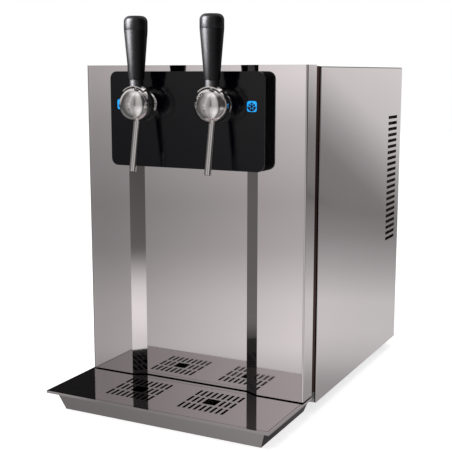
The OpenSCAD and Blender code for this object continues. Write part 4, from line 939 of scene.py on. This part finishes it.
class DISPENSER_OT_indicators(bpy.types.Operator):
    """Makes the lit indicators and the symbols on them"""

    bl_idname = "dispenser.indicators"
    bl_label = "Indicators"

    def execute(self, context):
        sizes = context.scene.dispenser_sizes
        for side in SIDES:
            low, high = corners(f"{side}_indicator")
            centre = (low + high) / 2
            bm = bmesh.new()
            edges = rounded_loop(bm, LENS, LENS, LENS_ROUND, (centre.x, low.y, centre.z))
            thicken(bm, edges, (0, high.y - low.y, 0))
            round_off(bm, rim_edges(bm, 1, low.y), sizes.edge_round, 3)
            finish_piece(f"{side}_lens", bm, "blue_lens", "blue_lens", "machine", f"{side}_indicator")
            bm = bmesh.new()
            draw = add_flake if side == "right" else add_bubbles
            draw(bm, sizes.symbol_size)
            bmesh.ops.translate(bm, vec=(centre.x, low.y, centre.z), verts=bm.verts)
            finish_piece(f"{side}_symbol", bm, "symbol", "blue_lens", "machine")
        return {"FINISHED"}


def add_bar(bm, length, width):
    """Points of a flat bar that stands up from the lens's middle."""
    verts = add_block(bm, width, SYMBOL_T, length)
    bmesh.ops.translate(bm, vec=(0, 0, length / 2), verts=verts)
    return verts


def add_flake(bm, size):
    """Six arms with a pair of short twigs each, over a half ring."""
    twig_lean = math.pi / 3.4
    for arm in range(6):
        bars = add_bar(bm, size / 2, 0.14 * size)
        for lean in (-twig_lean, twig_lean):
            twig = add_bar(bm, 0.2 * size, 0.11 * size)
            swing(bm, twig, lean)
            bmesh.ops.translate(bm, vec=(0, 0, 0.28 * size), verts=twig)
            bars += twig
        swing(bm, bars, arm * math.pi / 3)
    section = add_sheet(bm, 0.17 * size, SYMBOL_T)
    bmesh.ops.translate(bm, vec=(0.5 * size, 0, 0), verts=section)
    face = section[0].link_faces[0]
    bmesh.ops.spin(bm, geom=[face, *face.edges, *section], cent=(0, 0, 0), axis=BACKWARD, angle=math.pi,
                   steps=16)
    close_up(bm)


def add_bubbles(bm, size):
    """Three rings of different sizes."""
    bore = 0.62
    for x, z, share in ((-0.2, -0.18, 0.28), (0.26, 0.08, 0.2), (-0.06, 0.36, 0.14)):
        radius = share * size
        wall = tube_outline(bore * radius, radius, -SYMBOL_T / 2, SYMBOL_T / 2)
        turn(bm, wall, Vector((x * size, 0, z * size)), 28, BACKWARD)


# Grille: how far the slots' middle lies from the rear edge, how many slots lie on either side of it, how many
# of them the middle opening takes up, pitch of slots and rows, and the sizes of a slot and of that opening
SLOTS_FROM_REAR = 48.5 * MM
SLOT_REACH = 4
HOLE_REACH = 1
SLOT_PITCH = 8.15 * MM
ROW_PITCH = 25 * MM
SLOT_W = 4 * MM
SLOT_LEN = 20.5 * MM
HOLE_W = 20.3 * MM


class DISPENSER_OT_grille(bpy.types.Operator):
    """Makes the drip grille with its slots, whose walls are painted black: painted shade in place of their
    reflections
    """

    bl_idname = "dispenser.grille"
    bl_label = "Grille"

    def execute(self, context):
        sizes = context.scene.dispenser_sizes
        low, high = corners("tray_grille")
        spare = Vector((sizes.grille_gap, sizes.grille_gap, 0))
        bm = bmesh.new()
        edges = flat_loop(bm, low + spare, high - spare, high.z)
        for side in SIDES:
            tap = middle(f"{side}_tap_neck").x
            spot = Vector((tap, high.y - SLOTS_FROM_REAR, high.z))
            for row in (-1, 0, 1):
                for column in range(-SLOT_REACH, SLOT_REACH + 1):
                    if row or abs(column) > HOLE_REACH:
                        shift = Vector((column * SLOT_PITCH, row * ROW_PITCH, 0))
                        edges += slot_loop(bm, spot + shift, SLOT_W, SLOT_LEN)
            edges += slot_loop(bm, spot, HOLE_W, SLOT_LEN)
        thicken(bm, edges, (0, 0, low.z - high.z))
        # Painted shade: the slots' walls take the black matt finish instead of steel, standing in for the
        # shade inside the slots
        for face in bm.faces:
            if abs(face.normal.z) < 0.5:
                face.material_index = 1
        grille = finish_piece("grille_sheet", bm, "mirror_steel", "mirror_steel", "grille", "tray_grille")
        grille.data.materials.append(FINISHES["black_matt"])
        grille.modifiers.new("flats", "WEIGHTED_NORMAL").keep_sharp = True
        return {"FINISHED"}


def flat_loop(bm, low, high, level):
    """Edges of a level rectangle between two corners."""
    verts = add_sheet(bm, high.x - low.x, high.y - low.y)
    bmesh.ops.translate(bm, vec=((low.x + high.x) / 2, (low.y + high.y) / 2, level), verts=verts)
    return bevelled_outline(bm, verts, 0)


def slot_loop(bm, spot, width, length):
    """Edges of a level rectangle round its middle."""
    reach = Vector((width / 2, length / 2, 0))
    return flat_loop(bm, spot - reach, spot + reach, spot.z)


class DISPENSER_OT_feet(bpy.types.Operator):
    """Turns the rubber feet with a rounded tread"""

    bl_idname = "dispenser.feet"
    bl_label = "Feet"

    def execute(self, context):
        low, high = corners("feet")
        reach = 18 * MM
        tread, tread_round = 15 * MM, 1.5 * MM
        hollow_r, hollow = 8 * MM, 1.5 * MM
        outline = [(0, hollow), (hollow_r, hollow), (hollow_r, 0), (tread, 0), (reach, high.z), (0, high.z)]
        bm = bmesh.new()
        for x in (low.x + reach, high.x - reach):
            for y in (low.y + reach, high.y - reach):
                foot = bmesh.new()
                spot = Vector((x, y, 0))
                turn(foot, outline, spot, 40)
                round_off(foot, ring_at(foot, spot, tread, 0), tread_round, 4)
                join_into(bm, foot)
        finish_piece("rubber_feet", bm, "rubber", "rubber", "machine", "feet")
        return {"FINISHED"}


def join_into(bm, part):
    """Moves one bmesh into another."""
    mesh = bpy.data.meshes.new("part")
    part.to_mesh(mesh)
    part.free()
    bm.from_mesh(mesh)
    bpy.data.meshes.remove(mesh)


class DISPENSER_OT_screws(bpy.types.Operator):
    """Makes the rear panel's pan-head screws, whose cross slots are black bars set into the heads: painted
    shade standing in for the slots' recesses
    """

    bl_idname = "dispenser.screws"
    bl_label = "Screws"

    def execute(self, context):
        low, high = corners("rear_screws")
        head_r, head_h, head_round = 4 * MM, 2.4 * MM, 1.6 * MM
        dimple_r, dimple = 0.5 * MM, 1.4 * MM
        slot = (4.2 * MM, 0.1 * MM, 0.8 * MM)
        slot_sink = 0.03 * MM
        slot_turn = 0.4
        outline = [(0, 0), (head_r, 0), (head_r, head_h), (dimple_r, head_h), (dimple_r, head_h - dimple),
                   (0, head_h - dimple)]
        half = high.x - head_r
        bm = bmesh.new()
        for share in (-1, -1 / 3, 1 / 3, 1):
            for z in (low.z + head_r, high.z - head_r):
                spot = Vector((share * half, high.y - head_h, z))
                screw = bmesh.new()
                turn(screw, outline, spot, 24, BACKWARD)
                round_off(screw, ring_at(screw, spot, head_r, head_h, BACKWARD), head_round, 4)
                join_into(bm, screw)
                # Painted shade: each cross slot is a thin black bar in the head, not a recess
                for angle in (slot_turn, slot_turn + math.pi / 2):
                    blade = add_block(bm, *slot)
                    swing(bm, blade, angle)
                    bmesh.ops.translate(bm, vec=spot + BACKWARD * (head_h - slot_sink), verts=blade)
                    for face in {face for vert in blade for face in vert.link_faces}:
                        face.material_index = 1
        made = finish_piece("panel_screws", bm, "zinc_sheet", "zinc_sheet", "machine", "rear_screws")
        made.data.materials.append(FINISHES["black_matt"])
        return {"FINISHED"}


class DISPENSER_OT_knob(bpy.types.Operator):
    """Turns the temperature knob with its skirt, grip flutes and pointer line"""

    bl_idname = "dispenser.knob"
    bl_label = "Knob"

    def execute(self, context):
        sizes = context.scene.dispenser_sizes
        low, high = corners("temperature_knob")
        wide = (high.x - low.x) / 2
        tall, skirt, shoulder = 13.5 * MM, 3 * MM, 4 * MM
        grip, end = 0.8 * wide, 0.74 * wide
        end_round, skirt_round = 1.2 * MM, 0.8 * MM
        rib = (1.1 * MM, 8 * MM, 1.4 * MM)
        rib_at = (0, 8.2 * MM, 0.77 * wide)
        line = (1.2 * MM, 0.3 * MM, 6 * MM)
        line_out = 5 * MM
        spot = Vector(((low.x + high.x) / 2, high.y - tall, (low.z + high.z) / 2))
        outline = [(0, 0), (wide, 0), (wide, skirt), (grip, shoulder), (end, tall), (0, tall)]
        bm = bmesh.new()
        turn(bm, outline, spot, 72, BACKWARD)
        round_off(bm, ring_at(bm, spot, end, tall, BACKWARD), end_round, 4)
        round_off(bm, ring_at(bm, spot, wide, skirt, BACKWARD), skirt_round, 3)
        for flute in range(sizes.knob_flutes):
            verts = add_block(bm, *rib)
            bmesh.ops.translate(bm, vec=rib_at, verts=verts)
            swing(bm, verts, 2 * math.pi * (flute + 0.5) / sizes.knob_flutes)
            bmesh.ops.translate(bm, vec=spot, verts=verts)
        finish_piece("dial_knob", bm, "black_plastic", "black_plastic", "knob", "temperature_knob")
        bm = bmesh.new()
        add_block(bm, *line)
        bmesh.ops.bevel(bm, geom=list(bm.edges), offset=0.1 * MM, affect="EDGES", segments=2, profile=0.5,
                        material=-1)
        bmesh.ops.translate(bm, vec=spot + Vector((0, tall, line_out)), verts=bm.verts)
        finish_piece("dial_line", bm, "white_plastic", "black_plastic", "knob")
        return {"FINISHED"}


class DISPENSER_PT_sidebar(bpy.types.Panel):
    """Lists the dispenser's makers"""

    bl_idname = "DISPENSER_PT_sidebar"
    bl_label = "Dispenser"
    bl_space_type = "VIEW_3D"
    bl_region_type = "UI"
    bl_category = "Dispenser"

    def draw(self, context):
        for operator in OPERATORS:
            self.layout.operator(operator.bl_idname)


OPERATORS = (DISPENSER_OT_stage, DISPENSER_OT_finishes, DISPENSER_OT_handles, DISPENSER_OT_fascia,
             DISPENSER_OT_indicators, DISPENSER_OT_grille, DISPENSER_OT_feet, DISPENSER_OT_screws,
             DISPENSER_OT_knob)
GROUPS = {"dispenser_colours": DispenserColours, "dispenser_sizes": DispenserSizes,
          "dispenser_stage": DispenserStage}


def register():
    for kind in (*GROUPS.values(), *OPERATORS, DISPENSER_PT_sidebar):
        bpy.utils.register_class(kind)
    for name, group in GROUPS.items():
        setattr(bpy.types.Scene, name, PointerProperty(type=group))


def unregister():
    for name in GROUPS:
        delattr(bpy.types.Scene, name)
    for kind in (DISPENSER_PT_sidebar, *reversed(OPERATORS), *GROUPS.values()):
        bpy.utils.unregister_class(kind)


def main():
    register()
    for operator in OPERATORS:
        group, name = operator.bl_idname.split(".")
        getattr(getattr(bpy.ops, group), name)()


if __name__ == "__main__":
    main()
